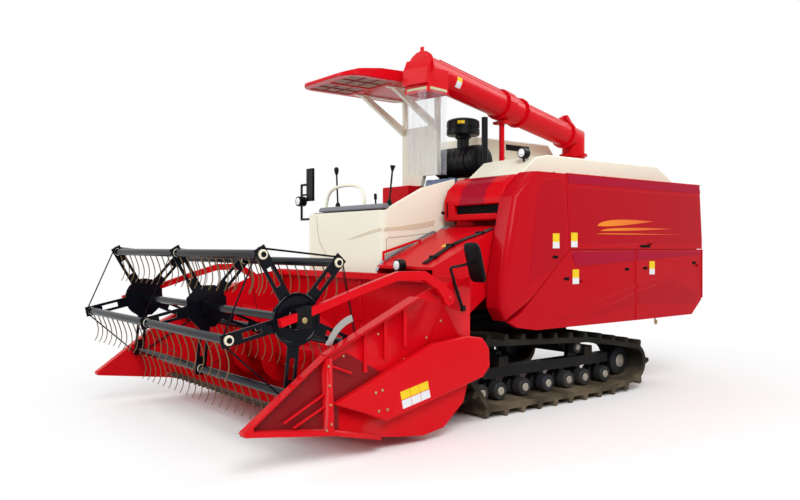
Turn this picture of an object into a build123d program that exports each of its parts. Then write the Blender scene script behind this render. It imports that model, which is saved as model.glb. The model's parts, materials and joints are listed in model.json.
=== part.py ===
"""Tracked full-feed combine harvester, built in millimetres.

+X is forward, +Y is the machine's left and +Z is up. The origin lies on the ground, midway between
the two tracks. The reel, auger and knife sit on a header that lifts with the feeder house; the
threshing housing is on the left, and the engine, seat and grain tank are on the right.
"""

from math import atan2, cos, degrees, hypot, pi, radians, sin
import os

from build123d import *

os.makedirs("parts", exist_ok=True)

# ---------------------------------------------------------------- driving dimensions
GAP = 5.0  # running gap round doors and moving pieces
SEAT_GAP = 0.3  # gap between a piece and the seat that carries it
SHEET = 6.0  # pressed sheet of the header and the feeder

# tracks: belt loops round a sprocket, an idler, a carrier roller and seven road rollers
TRACK_OUTER_Y = 856.0
BELT_WIDTH = 450.0
BELT_THICK = 38.0
LUG_HEIGHT = 45.0
LUG_COUNT = 52
LUG_SHARE = 0.62  # share of the belt's width that one staggered lug covers
TRACK_Y = TRACK_OUTER_Y - BELT_WIDTH / 2
ROLLER_R = 70.0
ROLLER_X = (-754.0, -487.0, -281.0, -28.0, 239.0, 507.0, 699.0)
ROLLER_DRUM = 80.0
ROLLER_STALK = 40.0  # thickness of the bracket between a roller's two drums
ROLLER_Z = LUG_HEIGHT + BELT_THICK + ROLLER_R + SEAT_GAP
IDLER_X, IDLER_Z, IDLER_R = -1000.0, 240.0, 121.0
SPROCKET_X, SPROCKET_Z, SPROCKET_R = 820.0, 395.0, 128.0
SPROCKET_TEETH = 10
SPROCKET_ROOT = 104.0
CARRIER_X, CARRIER_Z, CARRIER_R = -415.0, 405.0, 56.0
AXLE_R = 20.0
AXLE_FIT = 0.4

# chassis
BEAM_Z0, BEAM_Z1 = 245.0, 325.0
BEAM_HALF = 45.0
CROSS_X = (-600.0, 420.0)
CROSS_Z1 = 400.0
RAIL_Y, RAIL_W = 330.0, 70.0
RAIL_Z0, RAIL_Z1 = 560.0, 650.0
RAIL_X0, RAIL_X1 = -1780.0, 480.0
FOOT_X = 300.0  # front of the cross tie that carries the lift cylinder

# body
BODY_Z0 = RAIL_Z1  # underside of the housings, on the rails
BODY_LEFT = 900.0
BODY_RIGHT = -1030.0
BODY_TOP = 1800.0
PANEL_THICK = 40.0
PANEL_BOTTOM = 610.0
SEAM_X, SEAM_LOW_X = -40.0, -80.0  # seam between the front corner panel and the upper door
SEAM_Z = 1210.0  # seam between the upper door and the lower doors
MID_SEAM_X = -953.0
REAR_TOP_X, REAR_MID_X = -1943.0, -1988.0
DOOR_PIN_R = 7.0
SLOT_HALF = 34.0
FRONT_SLOTS = ((-150.0, 1150.0), (-860.0, 1150.0), (-200.0, 960.0))
REAR_SLOTS = ((-1040.0, 1150.0), (-1890.0, 1060.0))
HOUSING_LEFT = 790.0
HOUSING_RIGHT = -100.0
HOUSING_FRONT, HOUSING_REAR = 190.0, -1760.0

# feeder house, hinged at its upper shaft
PIVOT_X, PIVOT_Z = 420.0, 1200.0
FEEDER_LEFT, FEEDER_RIGHT = 720.0, 70.0
FEEDER_R = 203.0
PIVOT_R = 30.0
EAR_GAP, EAR_THICK = 6.0, 12.0  # between the feeder's side and the ear that carries its shaft
EAR_YS = (
    (FEEDER_RIGHT - EAR_GAP - EAR_THICK, FEEDER_RIGHT - EAR_GAP),
    (FEEDER_LEFT + EAR_GAP, FEEDER_LEFT + EAR_GAP + EAR_THICK),
)

# header
HEAD_LEFT, HEAD_RIGHT = 1055.0, -1365.0
TROUGH_X, TROUGH_Z, TROUGH_R = 1570.0, 457.0, 400.0
BACK_X = TROUGH_X - TROUGH_R + SHEET  # the back sheet rises straight from the trough's rear edge
BACK_TOP = 985.0
HEADER_BEAM = 50.0  # height of the tube along the top of the header's back
KNIFE_X, KNIFE_Z = 2215.0, 195.0
AUGER_R, AUGER_TUBE_R = 285.0, 150.0
AUGER_PITCH = 500.0
FLIGHT_THICK, FLIGHT_STEPS = 6.0, 14
FINGER_PITCH, FINGER_R, FINGER_REACH = 95.0, 8.0, 262.0
DIVIDER_TIP_X, DIVIDER_TIP_Z = 2815.0, 265.0
DIVIDER_DEPTH = 60.0

KNIFE_DEPTH, KNIFE_HALF = 32.0, 7.0
GUARD_PITCH, GUARD_LENGTH = 76.0, 66.0
GUARD_ROOT = 14.0
TROUGH_ANGLES = (-62.0, -121.0, -180.0)  # front edge, lowest stretch and rear edge of the trough
AUGER_X, AUGER_Z = TROUGH_X + 28, TROUGH_Z - 4
STUB_R = 30.0
RAIL_POINTS = ((1120, 85, 1100), (1120, 85, 1190), (760, 85, 1290), (760, 85, 1240))  # the feeder's hand rail
MOUTH_Z0, MOUTH_Z1 = 372.0, 640.0  # opening in the header's back, into the feeder house
FEEDER_FRONT = BACK_X - SHEET - SEAT_GAP

# lift cylinder
CYLINDER_Y = 450.0
BARREL_X, BARREL_Z = 265.0, 715.0
EYE_X, EYE_Z = 855.0, 678.0
PIN_R, PIN_FIT = 16.0, 0.5
LIFT_ROD_R, BARREL_LENGTH = 20.0, 430.0
EYE_R, EYE_BORE_R = 36.0, 24.0  # the rod's eye has room for its drift round the feeder's pin
FOOT_GAP, FOOT_PLATE = 22.0, 12.0  # half the room between a lug's two plates, and their thickness
EYE_HALF = FOOT_GAP - SEAT_GAP

# reel
REEL_X, REEL_Z, REEL_R = 2450.0, 830.0, 420.0
REEL_LEFT, REEL_RIGHT = 1030.0, -1330.0
BAT_COUNT = 5
BAT_FIRST = 60.0  # angle of the first bat, from +X towards +Z
BAT_TUBE_R = 27.0
JOURNAL = 6.0  # from the end spider's middle to the bat's end ring
TINE_DROP, TINE_LEAN = 225.0, -25.0
TINE_PITCH = 107.0
TINE_R, TINE_ROOT = 4.0, 7.0
SHAFT_R = 25.0
HUB_R = 155.0
SPIDER_THICK, SPIDER_ARM, SPIDER_EYE = 10.0, 74.0, 42.0
TIE_R = 5.0
SPIDER_SLOT = 120.0
STUB_PLATE, STUB_PLATE_R = 8.0, 60.0  # plate that bolts a shaft end to its spider
ARM_Y_LEFT, ARM_Y_RIGHT = 1108.0, -1418.0
ARM_THICK = 36.0
ARM_PIVOT_X, ARM_PIVOT_Z = 1380.0, 905.0

# operator's platform and cab
FLOOR_Z = 950.0
FAIRING_FRONT = 1095.0
FAIRING_LEFT = 40.0
FAIRING_RIGHT = -1030.0
FAIRING_TOP = 1520.0
FAIRING_NOSE = 60.0  # radius of the upright corner between the front and the left side
CANOPY_Z0, CANOPY_Z1 = 2600.0, 2700.0
CANOPY_X0, CANOPY_X1 = 60.0, 1230.0
CANOPY_Y0, CANOPY_Y1 = -1010.0, -225.0
CANOPY_CORNER = 170.0

COVER_TOP = 1970.0
FILTER_BAY_X, FILTER_BAY_Y = -260.0, 90.0  # the top cover stops short of the air filter here
FILTER_X, FILTER_Z, FILTER_R = -60.0, 1990.0, 140.0
CLEANER_Y, CLEANER_Z0, CLEANER_TOP, CLEANER_R = -290.0, 2225.0, 2385.0, 150.0
EXHAUST_X, EXHAUST_Y, EXHAUST_TOP = -20.0, 25.0, 2350.0
POST_R = 20.0  # half the thickness of the canopy's pillar and of its struts
PILLAR_X, PILLAR_TOP = 130.0, 2330.0
PILLAR_LEFT, PILLAR_RIGHT = -400.0, -900.0
PILLAR_MID = (PILLAR_LEFT + PILLAR_RIGHT) / 2
STRUT_X = 640.0
SIDE_BOX_TOP = 1790.0
SEAT_BACK_TOP = 1860.0
BAY_TOP = 1420.0
SEAT_Y0, SEAT_Y1 = -590.0, -190.0
SEAT_BASE_TOP = 1290.0
FLOOR_THICK = 40.0
STEP_X0, STEP_X1 = 560.0, 900.0
STEP_Y0 = -1140.0
STEP_Z = (470.0, 700.0)
LEVER_R, KNOB_R, BOOT_R = 9.0, 22.0, 36.0
CONSOLE_TOP = 1530.0
LAMP_X, LAMP_Y, LAMP_FOOT, LAMP_Z = 115.0, 600.0, 1906.0, 1975.0
LEVERS = (
    # foot x, foot y, foot z, top x, top y, top z
    (930.0, -820.0, CONSOLE_TOP, 950.0, -820.0, 1900.0),
    (890.0, -150.0, CONSOLE_TOP, 850.0, -150.0, 1870.0),
)
GRAB_RAIL = (
    (1000.0, -900.0, CONSOLE_TOP + SEAT_GAP),
    (1000.0, -900.0, 1640.0),
    (1000.0, -800.0, 1750.0),
    (1000.0, -400.0, 1750.0),
    (1000.0, -330.0, 1640.0),
    (1000.0, -330.0, CONSOLE_TOP + SEAT_GAP),
)
GRAB_R = 14.0
MIRROR_BAR = ((1040, -1020 - SEAT_GAP, 1480), (1040, -1250, 1480), (1040, -1250, 1790), (1040, -1150, 1790))

# grain tank and unloading auger
TANK_X0, TANK_X1 = -1560.0, -430.0
TANK_LEFT = -490.0
TANK_Z0, TANK_TOP = 1000.0, 2280.0
TANK_SADDLES = (-1440.0, -820.0)
FUEL_TOP = 960.0
COLUMN_X, COLUMN_Y, COLUMN_R = -1660.0, -340.0, 115.0
COLUMN_TOP = 2170.0
TUBE_SIDES = 16  # flat sides of the column, the boom and their flanges
BOOM_START = Vector(COLUMN_X, COLUMN_Y, 2345.0)  # where the column's and the boom's centre lines meet
BOOM_TIP = Vector(720.0, 40.0, 2665.0)
BOOM_R = 120.0
FLANGE_R, FLANGE_THICK = 142.0, 14.0
ELBOW_REACH = 190.0  # from the column's centre line to the boom's hinge flange
BOOM_WAY = (BOOM_TIP - BOOM_START).normalized()
BOOM_SIDE = Vector(-BOOM_WAY.Y, BOOM_WAY.X, 0).normalized()  # level, to the boom's left
BOOM_UP = BOOM_WAY.cross(BOOM_SIDE)
REST_X, REST_Y, REST_HALF = -400.0, -140.0, 40.0
MID_RING = 0.375  # share of the boom's length at its middle flange
OUTLET_HALF = 125.0
OUTLET_BACK = 85.0  # from the boom's tip back to the centre of its outlet
FIN_TOP, FIN_HALF = 2840.0, 15.0
HOOD_LENGTH = 230.0  # stretch of the tube that belongs to the outlet hood
HINGE_RISE, HINGE_R, HINGE_PIN_R = 175.0, 26.0, 12.0  # boom hinge, above the tube's centre line
LUG_HALF, HINGE_GAP = 12.0, 2.0
OUTLET_DROP = 195.0
CURTAIN_LENGTH = 680.0
CURTAIN_WALL = 5.0


# ---------------------------------------------------------------- helpers
def save(builder, name):
    """Label a finished sub-part and write it as its own file."""
    builder.part.label = name
    export_step(builder.part, f"parts/{name}.step")


def prism(plane, points, depth, mode=Mode.ADD, radius=0.0):
    """Extrude a closed outline from its plane, its corners rounded if a radius is given."""
    with BuildSketch(plane) as outline:
        with BuildLine():
            if radius:
                FilletPolyline(*points, radius=radius, close=True)
            else:
                Polyline(*points, close=True)
        make_face()
    extrude(outline.sketch, amount=depth, mode=mode)


def side_prism(points, y0, y1, mode=Mode.ADD, radius=0.0):
    """An outline in X and Z, between two Y planes."""
    prism(Plane.XZ.offset(-y1), points, y1 - y0, mode, radius)


def front_prism(points, x0, x1, mode=Mode.ADD, radius=0.0):
    """An outline in Y and Z, between two X planes."""
    prism(Plane.YZ.offset(x0), points, x1 - x0, mode, radius)


def plan_prism(points, z0, z1, mode=Mode.ADD, radius=0.0):
    """An outline in X and Y, between two heights."""
    prism(Plane.XY.offset(z0), points, z1 - z0, mode, radius)


def block(x0, x1, y0, y1, z0, z1, mode=Mode.ADD):
    """A box between two corners."""
    with Locations(((x0 + x1) / 2, (y0 + y1) / 2, (z0 + z1) / 2)):
        Box(abs(x1 - x0), abs(y1 - y0), abs(z1 - z0), mode=mode)


def rod(start, end, radius, mode=Mode.ADD, sides=0, across=None):
    """A bar between two points, round or with flat sides; across is the way its first corner points."""
    span = Vector(*end) - Vector(*start)
    with BuildSketch(Plane(origin=start, x_dir=across, z_dir=span)) as section:
        if sides:
            RegularPolygon(radius, sides)
        else:
            Circle(radius)
    extrude(section.sketch, amount=span.length, mode=mode)


def cross_rod(x, z, y0, y1, radius, mode=Mode.ADD, sides=0):
    """A bar across the machine, round or with flat sides and a corner straight above its axis."""
    with BuildSketch(Plane.XZ.offset(-max(y0, y1))) as section:
        with Locations(Location((x, z), 90)):
            if sides:
                RegularPolygon(radius, sides)
            else:
                Circle(radius)
    extrude(section.sketch, amount=abs(y1 - y0), mode=mode)


def cross_bore(x, z, y0, y1, radius, sides=12):
    """A flat-sided hole across the machine whose sides just touch a bar of the radius."""
    cross_rod(x, z, y0, y1, radius / cos(pi / sides), Mode.SUBTRACT, sides)


def bent_bar(points, radius, sides=6):
    """A bar with flat sides, mitred along a line of points."""
    with BuildLine() as path:
        Polyline(*points)
    with BuildSketch(Plane(origin=path.line @ 0, z_dir=path.line % 0)) as section:
        RegularPolygon(radius, sides)
    sweep(section.sketch, path=path.line, transition=Transition.RIGHT)


def polar(x, z, radius, angle):
    """A point in the XZ plane at an angle from +X towards +Z."""
    return (x + radius * cos(radians(angle)), z + radius * sin(radians(angle)))


def loop_circles(extra):
    """The track loop's circles, in order round the loop, each grown by the same amount."""
    wheels = (
        (ROLLER_X[0], ROLLER_Z, ROLLER_R),
        (ROLLER_X[-1], ROLLER_Z, ROLLER_R),
        (SPROCKET_X, SPROCKET_Z, SPROCKET_R),
        (CARRIER_X, CARRIER_Z, CARRIER_R),
        (IDLER_X, IDLER_Z, IDLER_R),
    )
    return [(x, z, r + extra) for x, z, r in wheels]


def loop_tangents(circles):
    """The straight runs of a belt round circles met anticlockwise, each a start and an end point."""
    runs = []
    for (x0, z0, r0), (x1, z1, r1) in zip(circles, circles[1:] + circles[:1]):
        length = hypot(x1 - x0, z1 - z0)
        heading = degrees(atan2(z1 - z0, x1 - x0))
        lean = degrees(atan2(r1 - r0, length))
        outward = heading - 90 - lean
        runs.append((polar(x0, z0, r0, outward), polar(x1, z1, r1, outward)))
    return runs


def loop_outline(extra):
    """A belt loop's outline as lines and arcs, in the current line builder."""
    circles = loop_circles(extra)
    runs = loop_tangents(circles)
    for i, (start, end) in enumerate(runs):
        Line(start, end)
        x, z, r = circles[(i + 1) % len(circles)]
        following = runs[(i + 1) % len(runs)][0]
        a0 = atan2(end[1] - z, end[0] - x)
        a1 = atan2(following[1] - z, following[0] - x)
        while a1 < a0:
            a1 += 2 * pi
        ThreePointArc(end, polar(x, z, r, degrees((a0 + a1) / 2)), following)


def loop_stations(extra, count):
    """Points spaced evenly round the loop, each with the loop's outward direction there in degrees."""
    circles = loop_circles(extra)
    runs = loop_tangents(circles)
    pieces = []
    for i, (start, end) in enumerate(runs):
        heading = degrees(atan2(end[1] - start[1], end[0] - start[0]))
        pieces.append(("run", start, end, heading, hypot(end[0] - start[0], end[1] - start[1])))
        x, z, r = circles[(i + 1) % len(circles)]
        following = runs[(i + 1) % len(runs)][0]
        a0 = degrees(atan2(end[1] - z, end[0] - x))
        a1 = degrees(atan2(following[1] - z, following[0] - x))
        while a1 < a0:
            a1 += 360
        pieces.append(("arc", (x, z, r), (a0, a1), None, radians(a1 - a0) * r))
    total = sum(piece[4] for piece in pieces)
    stations = []
    for k in range(count):
        left = (k + 0.5) * total / count
        for kind, first, second, heading, length in pieces:
            if left > length:
                left -= length
                continue
            t = left / length
            if kind == "run":
                point = (first[0] + t * (second[0] - first[0]), first[1] + t * (second[1] - first[1]))
                stations.append((point, heading - 90))
            else:
                angle = second[0] + t * (second[1] - second[0])
                stations.append((polar(first[0], first[1], first[2], angle), angle))
            break
    return stations


def handle_slot(x, z):
    """A finger recess in the outer face of a side panel."""
    block(x - SLOT_HALF, x + SLOT_HALF, BODY_LEFT - 14, BODY_LEFT + 14, z - 11, z + 11, Mode.SUBTRACT)


# ---------------------------------------------------------------- chassis and tracks
with BuildPart() as chassis:
    for side in (-1, 1):
        block(RAIL_X0, RAIL_X1, side * RAIL_Y, side * (RAIL_Y + RAIL_W), RAIL_Z0, RAIL_Z1)
        for x in CROSS_X:
            block(x - 50, x + 50, side * RAIL_Y, side * (RAIL_Y + RAIL_W), CROSS_Z1, RAIL_Z0)
    for x in CROSS_X:
        y_end = TRACK_Y + BEAM_HALF
        block(x - 50, x + 50, -y_end, y_end, BEAM_Z1, CROSS_Z1)
    for x in (RAIL_X0, -1200.0, FOOT_X - 70):
        block(x, x + 70, -RAIL_Y, RAIL_Y, RAIL_Z0, RAIL_Z1)
    block(FOOT_X - 70, FOOT_X, RAIL_Y, CYLINDER_Y + FOOT_GAP + FOOT_PLATE, RAIL_Z1 - 20, RAIL_Z1)
    for y in (CYLINDER_Y - FOOT_GAP - FOOT_PLATE, CYLINDER_Y + FOOT_GAP):
        foot_x0, foot_x1 = BARREL_X - 35, FOOT_X
        block(foot_x0, foot_x1, y, y + FOOT_PLATE, RAIL_Z1 - 20, BARREL_Z + 40)
    foot_reach = FOOT_GAP + FOOT_PLATE
    cross_rod(BARREL_X, BARREL_Z, CYLINDER_Y - foot_reach, CYLINDER_Y + foot_reach, PIN_R)
save(chassis, "chassis")

with BuildPart() as gearbox:
    side_prism(
        [
            (CROSS_X[1] + 50 + SEAT_GAP, 330),
            (560, 300),
            (960, 300),
            (985, 400),
            (960, 560),
            (640, 640),
            (520, 600),
            (CROSS_X[1] + 50 + SEAT_GAP, 395),
        ],
        -170,
        170,
    )
    for side in (-1, 1):
        cross_rod(SPROCKET_X, SPROCKET_Z, side * 170, side * 420, 75, sides=12)
        cross_rod(SPROCKET_X, SPROCKET_Z, side * 420, side * 545, 105, sides=12)
save(gearbox, "gearbox")

for name, side in (("left", 1), ("right", -1)):
    centre = side * TRACK_Y
    inner, outer = centre - BELT_WIDTH / 2, centre + BELT_WIDTH / 2

    with BuildPart() as track_frame:
        block(-860, 640, centre - BEAM_HALF, centre + BEAM_HALF, BEAM_Z0, BEAM_Z1)
        for x in ROLLER_X:
            reach = 35 if x < 600 else 65
            stalk = [
                (x - 30, ROLLER_Z - 32),
                (x + 30, ROLLER_Z - 32),
                (x + 30, BEAM_Z0),
                (x + 30 - reach, BEAM_Z0 + 20),
                (x - 30 - reach + 35, BEAM_Z0 + 20),
                (x - 30, BEAM_Z0),
            ]
            side_prism(stalk, centre - ROLLER_STALK / 2, centre + ROLLER_STALK / 2)
        side_prism(
            [
                (IDLER_X - 45, IDLER_Z - 30),
                (IDLER_X + 30, IDLER_Z - 45),
                (-850, BEAM_Z0),
                (-850, BEAM_Z1),
                (IDLER_X, IDLER_Z + 45),
                (IDLER_X - 45, IDLER_Z + 30),
            ],
            centre - ROLLER_STALK / 2,
            centre + ROLLER_STALK / 2,
        )
        side_prism(
            [
                (CARRIER_X - 60, BEAM_Z1),
                (CARRIER_X + 60, BEAM_Z1),
                (CARRIER_X + 28, CARRIER_Z + 28),
                (CARRIER_X - 28, CARRIER_Z + 28),
            ],
            centre - ROLLER_STALK / 2,
            centre + ROLLER_STALK / 2,
        )
        axles = [(x, ROLLER_Z) for x in ROLLER_X] + [(IDLER_X, IDLER_Z), (CARRIER_X, CARRIER_Z)]
        for x, z in axles:
            cross_rod(x, z, centre - 60, centre + 60, AXLE_R + AXLE_FIT, Mode.SUBTRACT, sides=6)
    save(track_frame, f"track_frame_{name}")

    with BuildPart() as wheels:
        for x in ROLLER_X:
            for s in (-1, 1):
                y_in = centre + s * (ROLLER_STALK / 2 + 2)
                y_out = y_in + s * ROLLER_DRUM
                cross_rod(x, ROLLER_Z, y_in, y_out, ROLLER_R, sides=8)
            cross_rod(x, ROLLER_Z, centre - 30, centre + 30, AXLE_R, sides=6)
        for s in (-1, 1):
            y_in = centre + s * (ROLLER_STALK / 2 + 2)
            cross_rod(IDLER_X, IDLER_Z, y_in, y_in + s * 50, IDLER_R, sides=12)
            cross_rod(CARRIER_X, CARRIER_Z, y_in, y_in + s * 60, CARRIER_R, sides=8)
        cross_rod(IDLER_X, IDLER_Z, centre - 30, centre + 30, AXLE_R, sides=6)
        cross_rod(CARRIER_X, CARRIER_Z, centre - 30, centre + 30, AXLE_R, sides=6)
        toothed = []
        for k in range(SPROCKET_TEETH):
            middle = 360.0 * (k + 0.5) / SPROCKET_TEETH
            for r, share in ((SPROCKET_ROOT, -0.5), (SPROCKET_R, -0.2), (SPROCKET_R, 0.2)):
                toothed.append(polar(SPROCKET_X, SPROCKET_Z, r, middle + share * 360.0 / SPROCKET_TEETH))
        side_prism(toothed, centre - 30, centre + 30)
        cross_rod(SPROCKET_X, SPROCKET_Z, side * 546, centre + side * 48, 48, sides=8)
    save(wheels, f"track_wheels_{name}")

    with BuildPart() as track:
        with BuildSketch(Plane.XZ.offset(-outer)) as belt:
            with BuildLine():
                loop_outline(SEAT_GAP + BELT_THICK)
            make_face()
            with BuildLine():
                loop_outline(SEAT_GAP)
            make_face(mode=Mode.SUBTRACT)
        extrude(belt.sketch, amount=BELT_WIDTH)
        lug_reach = BELT_WIDTH * LUG_SHARE
        for parity, y_far in ((0, outer), (1, inner + lug_reach)):
            with BuildSketch(Plane.XZ.offset(-y_far)) as lugs:
                for (x, z), angle in loop_stations(SEAT_GAP + BELT_THICK, LUG_COUNT)[parity::2]:
                    with Locations(Location((x, z), angle - 90)):
                        with Locations((0, LUG_HEIGHT / 2 - 4)):
                            Trapezoid(62, LUG_HEIGHT + 8, 72)
            extrude(lugs.sketch, amount=lug_reach)
    save(track, f"track_{name}")

# ---------------------------------------------------------------- threshing housing and its covers
with BuildPart() as housing:
    side_prism(
        [
            (HOUSING_FRONT, BODY_Z0),
            (HOUSING_FRONT, 1760),
            (HOUSING_REAR, 1760),
            (HOUSING_REAR, 760),
            (HOUSING_REAR + 130, BODY_Z0),
        ],
        HOUSING_RIGHT,
        HOUSING_LEFT,
    )
    for x0, x1, z0, z1 in (
        (HOUSING_REAR, 170, SEAM_Z - 15, SEAM_Z + 15),
        (HOUSING_REAR, 170, 1735, 1760),
        (MID_SEAM_X - 30, MID_SEAM_X + 30, BODY_Z0, SEAM_Z - 15),
        (130, HOUSING_FRONT, BODY_Z0, SEAM_Z - 15),
    ):
        block(x0, x1, HOUSING_LEFT, BODY_LEFT - PANEL_THICK - SEAT_GAP, z0, z1)
    for y0, y1 in EAR_YS:
        side_prism(
            [
                (HOUSING_FRONT, PIVOT_Z - 90),
                (PIVOT_X + 20, PIVOT_Z - 55),
                (PIVOT_X + 50, PIVOT_Z),
                (PIVOT_X + 20, PIVOT_Z + 55),
                (HOUSING_FRONT, PIVOT_Z + 90),
            ],
            y0,
            y1,
        )
        cross_bore(PIVOT_X, PIVOT_Z, y0 - 5, y1 + 5, PIVOT_R + PIN_FIT)
save(housing, "thresher_housing")

with BuildPart() as drives:
    pulleys = (
        # x, z, radius, width
        (-60.0, 1480.0, 180.0, 40.0),
        (-820.0, 1420.0, 120.0, 40.0),
        (-1420.0, 1380.0, 150.0, 40.0),
        (-330.0, 900.0, 140.0, 40.0),
        (-1150.0, 860.0, 110.0, 40.0),
    )
    for x, z, r, w in pulleys:
        cross_rod(x, z, HOUSING_LEFT, HOUSING_LEFT + w, r, sides=12)
save(drives, "side_pulleys")

with BuildPart() as front_panel:
    corner = [
        (323, BODY_TOP),
        (529, 1604),
        (668, 968),
        (668, 789),
        (600, 690),
        (475, 751),
        (SEAM_LOW_X + GAP, SEAM_Z),
        (SEAM_X + GAP, BODY_TOP),
    ]
    side_prism(corner, 740, BODY_LEFT)
    side_prism(
        [(SEAM_LOW_X - 60, 560), (300, 560), (300, 1900), (SEAM_LOW_X - 60, 1900)],
        700,
        BODY_LEFT - PANEL_THICK,
        Mode.SUBTRACT,
    )
    front_edges = front_panel.faces().filter_by(Axis.Y).sort_by(Axis.Y)[-1].edges()
    chosen = [e for e in front_edges if (e @ 0.5).X > 400 and (e @ 0.5).Z > 700]
    fillet(chosen, 55)
save(front_panel, "front_corner_panel")

with BuildPart() as upper_door:
    side_prism(
        [
            (SEAM_X, BODY_TOP),
            (REAR_TOP_X, BODY_TOP),
            (REAR_MID_X, 1300),
            (REAR_MID_X, SEAM_Z + GAP / 2),
            (SEAM_LOW_X, SEAM_Z + GAP / 2),
        ],
        BODY_LEFT - PANEL_THICK,
        BODY_LEFT,
    )
    handle_slot(-1150.0, SEAM_Z + 50)
    rod((SEAM_X, BODY_LEFT, BODY_TOP), (REAR_TOP_X, BODY_LEFT, BODY_TOP), DOOR_PIN_R)
save(upper_door, "upper_side_door")

with BuildPart() as lower_front_door:
    side_prism(
        [
            (SEAM_LOW_X, SEAM_Z - GAP / 2),
            (475 - 8, 751 - GAP),
            (600 - 6, 690 - GAP),
            (508, 641),
            (301, PANEL_BOTTOM),
            (MID_SEAM_X + GAP, PANEL_BOTTOM),
            (MID_SEAM_X + GAP, SEAM_Z - GAP / 2),
        ],
        BODY_LEFT - PANEL_THICK,
        BODY_LEFT,
    )
    for x, z in FRONT_SLOTS:
        handle_slot(x, z)
    pin_x = MID_SEAM_X + GAP
    rod((pin_x, BODY_LEFT, PANEL_BOTTOM), (pin_x, BODY_LEFT, SEAM_Z - GAP / 2), DOOR_PIN_R)
save(lower_front_door, "lower_front_door")

with BuildPart() as lower_rear_door:
    side_prism(
        [
            (MID_SEAM_X - GAP, SEAM_Z - GAP / 2),
            (REAR_MID_X, SEAM_Z - GAP / 2),
            (-1978, 744),
            (-1817, 614),
            (MID_SEAM_X - GAP, PANEL_BOTTOM),
        ],
        BODY_LEFT - PANEL_THICK,
        BODY_LEFT,
    )
    for x, z in REAR_SLOTS:
        handle_slot(x, z)
    rod((REAR_MID_X, BODY_LEFT, 760), (REAR_MID_X, BODY_LEFT, SEAM_Z - GAP / 2), DOOR_PIN_R)
save(lower_rear_door, "lower_rear_door")

with BuildPart() as front_hood:
    side_prism(
        [
            (HOUSING_FRONT, 1560),
            (505, 1560),
            (505, 1600),
            (470, 1690),
            (360, 1780),
            (250, BODY_TOP),
            (HOUSING_FRONT, BODY_TOP),
        ],
        85,
        735,
    )
    side_prism([(HOUSING_FRONT, 1440), (500, 1440), (505, 1490), (HOUSING_FRONT, 1490)], 85, 735)
    block(HOUSING_FRONT, 300, 85, 735, 1490, 1560)
    block(300, 505, 85, 205, 1490, 1560)
save(front_hood, "front_hood")

with BuildPart() as top_cover:
    side_prism(
        [
            (HOUSING_REAR - 90, BODY_TOP),
            (HOUSING_REAR - 90, 1846),
            (-1599, COVER_TOP),
            (-90, COVER_TOP),
            (60, 1940),
            (240, BODY_TOP),
        ],
        TANK_LEFT + SEAT_GAP,
        680,
    )
    block(FILTER_BAY_X, 300, -600, FILTER_BAY_Y, BODY_TOP - 1, 2000, Mode.SUBTRACT)
    hole_r = COLUMN_R + SEAT_GAP / cos(pi / TUBE_SIDES)
    rod((COLUMN_X, COLUMN_Y, 1750), (COLUMN_X, COLUMN_Y, 2000), hole_r, Mode.SUBTRACT, sides=TUBE_SIDES)
save(top_cover, "top_cover")

with BuildPart() as rear_hood:
    side_prism(
        [
            (HOUSING_REAR - SEAT_GAP, 1760),
            (HOUSING_REAR - SEAT_GAP, 800),
            (-1965, 800),
            (-1975, 1210),
            (-1930, 1760),
        ],
        HOUSING_RIGHT,
        BODY_LEFT - PANEL_THICK - SEAT_GAP,
    )
    block(-2100, HOUSING_REAR - 20, 60, 700, 700, 1180, Mode.SUBTRACT)
    block(REAR_MID_X - 42, -1955, 770, 850, 1255, 1425)
save(rear_hood, "straw_hood")

# ---------------------------------------------------------------- engine bay, tank and platform
with BuildPart() as engine_bay:
    block(-620, HOUSING_FRONT, BODY_RIGHT + SEAT_GAP, HOUSING_RIGHT - SEAT_GAP, BODY_Z0, BAY_TOP)
    block(-560, 130, BODY_RIGHT - 10, HOUSING_RIGHT - 60, BODY_Z0 + 40, BAY_TOP - 40, Mode.SUBTRACT)
    block(TANK_X1 + 10, 290, BODY_RIGHT, SEAT_Y0 - 50, BAY_TOP + SEAT_GAP, SIDE_BOX_TOP)
save(engine_bay, "engine_bay")

with BuildPart() as engine:
    block(-470, 50, -820, -300, 740, 1240)
    block(-520, -430, -860, -260, BODY_Z0 + 40, 740)
    block(-10, 80, -860, -260, BODY_Z0 + 40, 740)
save(engine, "engine")

with BuildPart() as engine_door:
    screen_y = BODY_RIGHT - 35
    block(-600, 170, screen_y, BODY_RIGHT, 690, 1400)
    block(-540, 110, screen_y - 5, screen_y + 10, 750, 1340, Mode.SUBTRACT)
    rod((-600, screen_y, 690), (-600, screen_y, 1400), DOOR_PIN_R)
save(engine_door, "engine_screen_door")

with BuildPart() as tank:
    lower_tank = [
        (-640 + SEAT_GAP, 1420),
        (TANK_X1, 1560),
        (TANK_X1, BODY_TOP - SEAT_GAP),
        (HOUSING_REAR, BODY_TOP - SEAT_GAP),
        (HOUSING_REAR, TANK_Z0),
        (-640 + SEAT_GAP, TANK_Z0),
    ]
    side_prism(lower_tank, BODY_RIGHT, HOUSING_RIGHT - SEAT_GAP)
    upper_tank = [
        (TANK_X1, BODY_TOP - SEAT_GAP),
        (TANK_X1, TANK_TOP),
        (TANK_X0 + 110, TANK_TOP),
        (TANK_X0, 2160),
        (HOUSING_REAR, 1980),
        (HOUSING_REAR, BODY_TOP - SEAT_GAP),
    ]
    side_prism(upper_tank, BODY_RIGHT, TANK_LEFT)
    for x in TANK_SADDLES:
        block(x, x + 60, -1000, HOUSING_RIGHT - SEAT_GAP, FUEL_TOP + SEAT_GAP, TANK_Z0)
save(tank, "grain_tank")

with BuildPart() as fuel_tank:
    block(-1500, -700, -1000, -420, BODY_Z0 + SEAT_GAP, FUEL_TOP)
save(fuel_tank, "fuel_tank")

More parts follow.
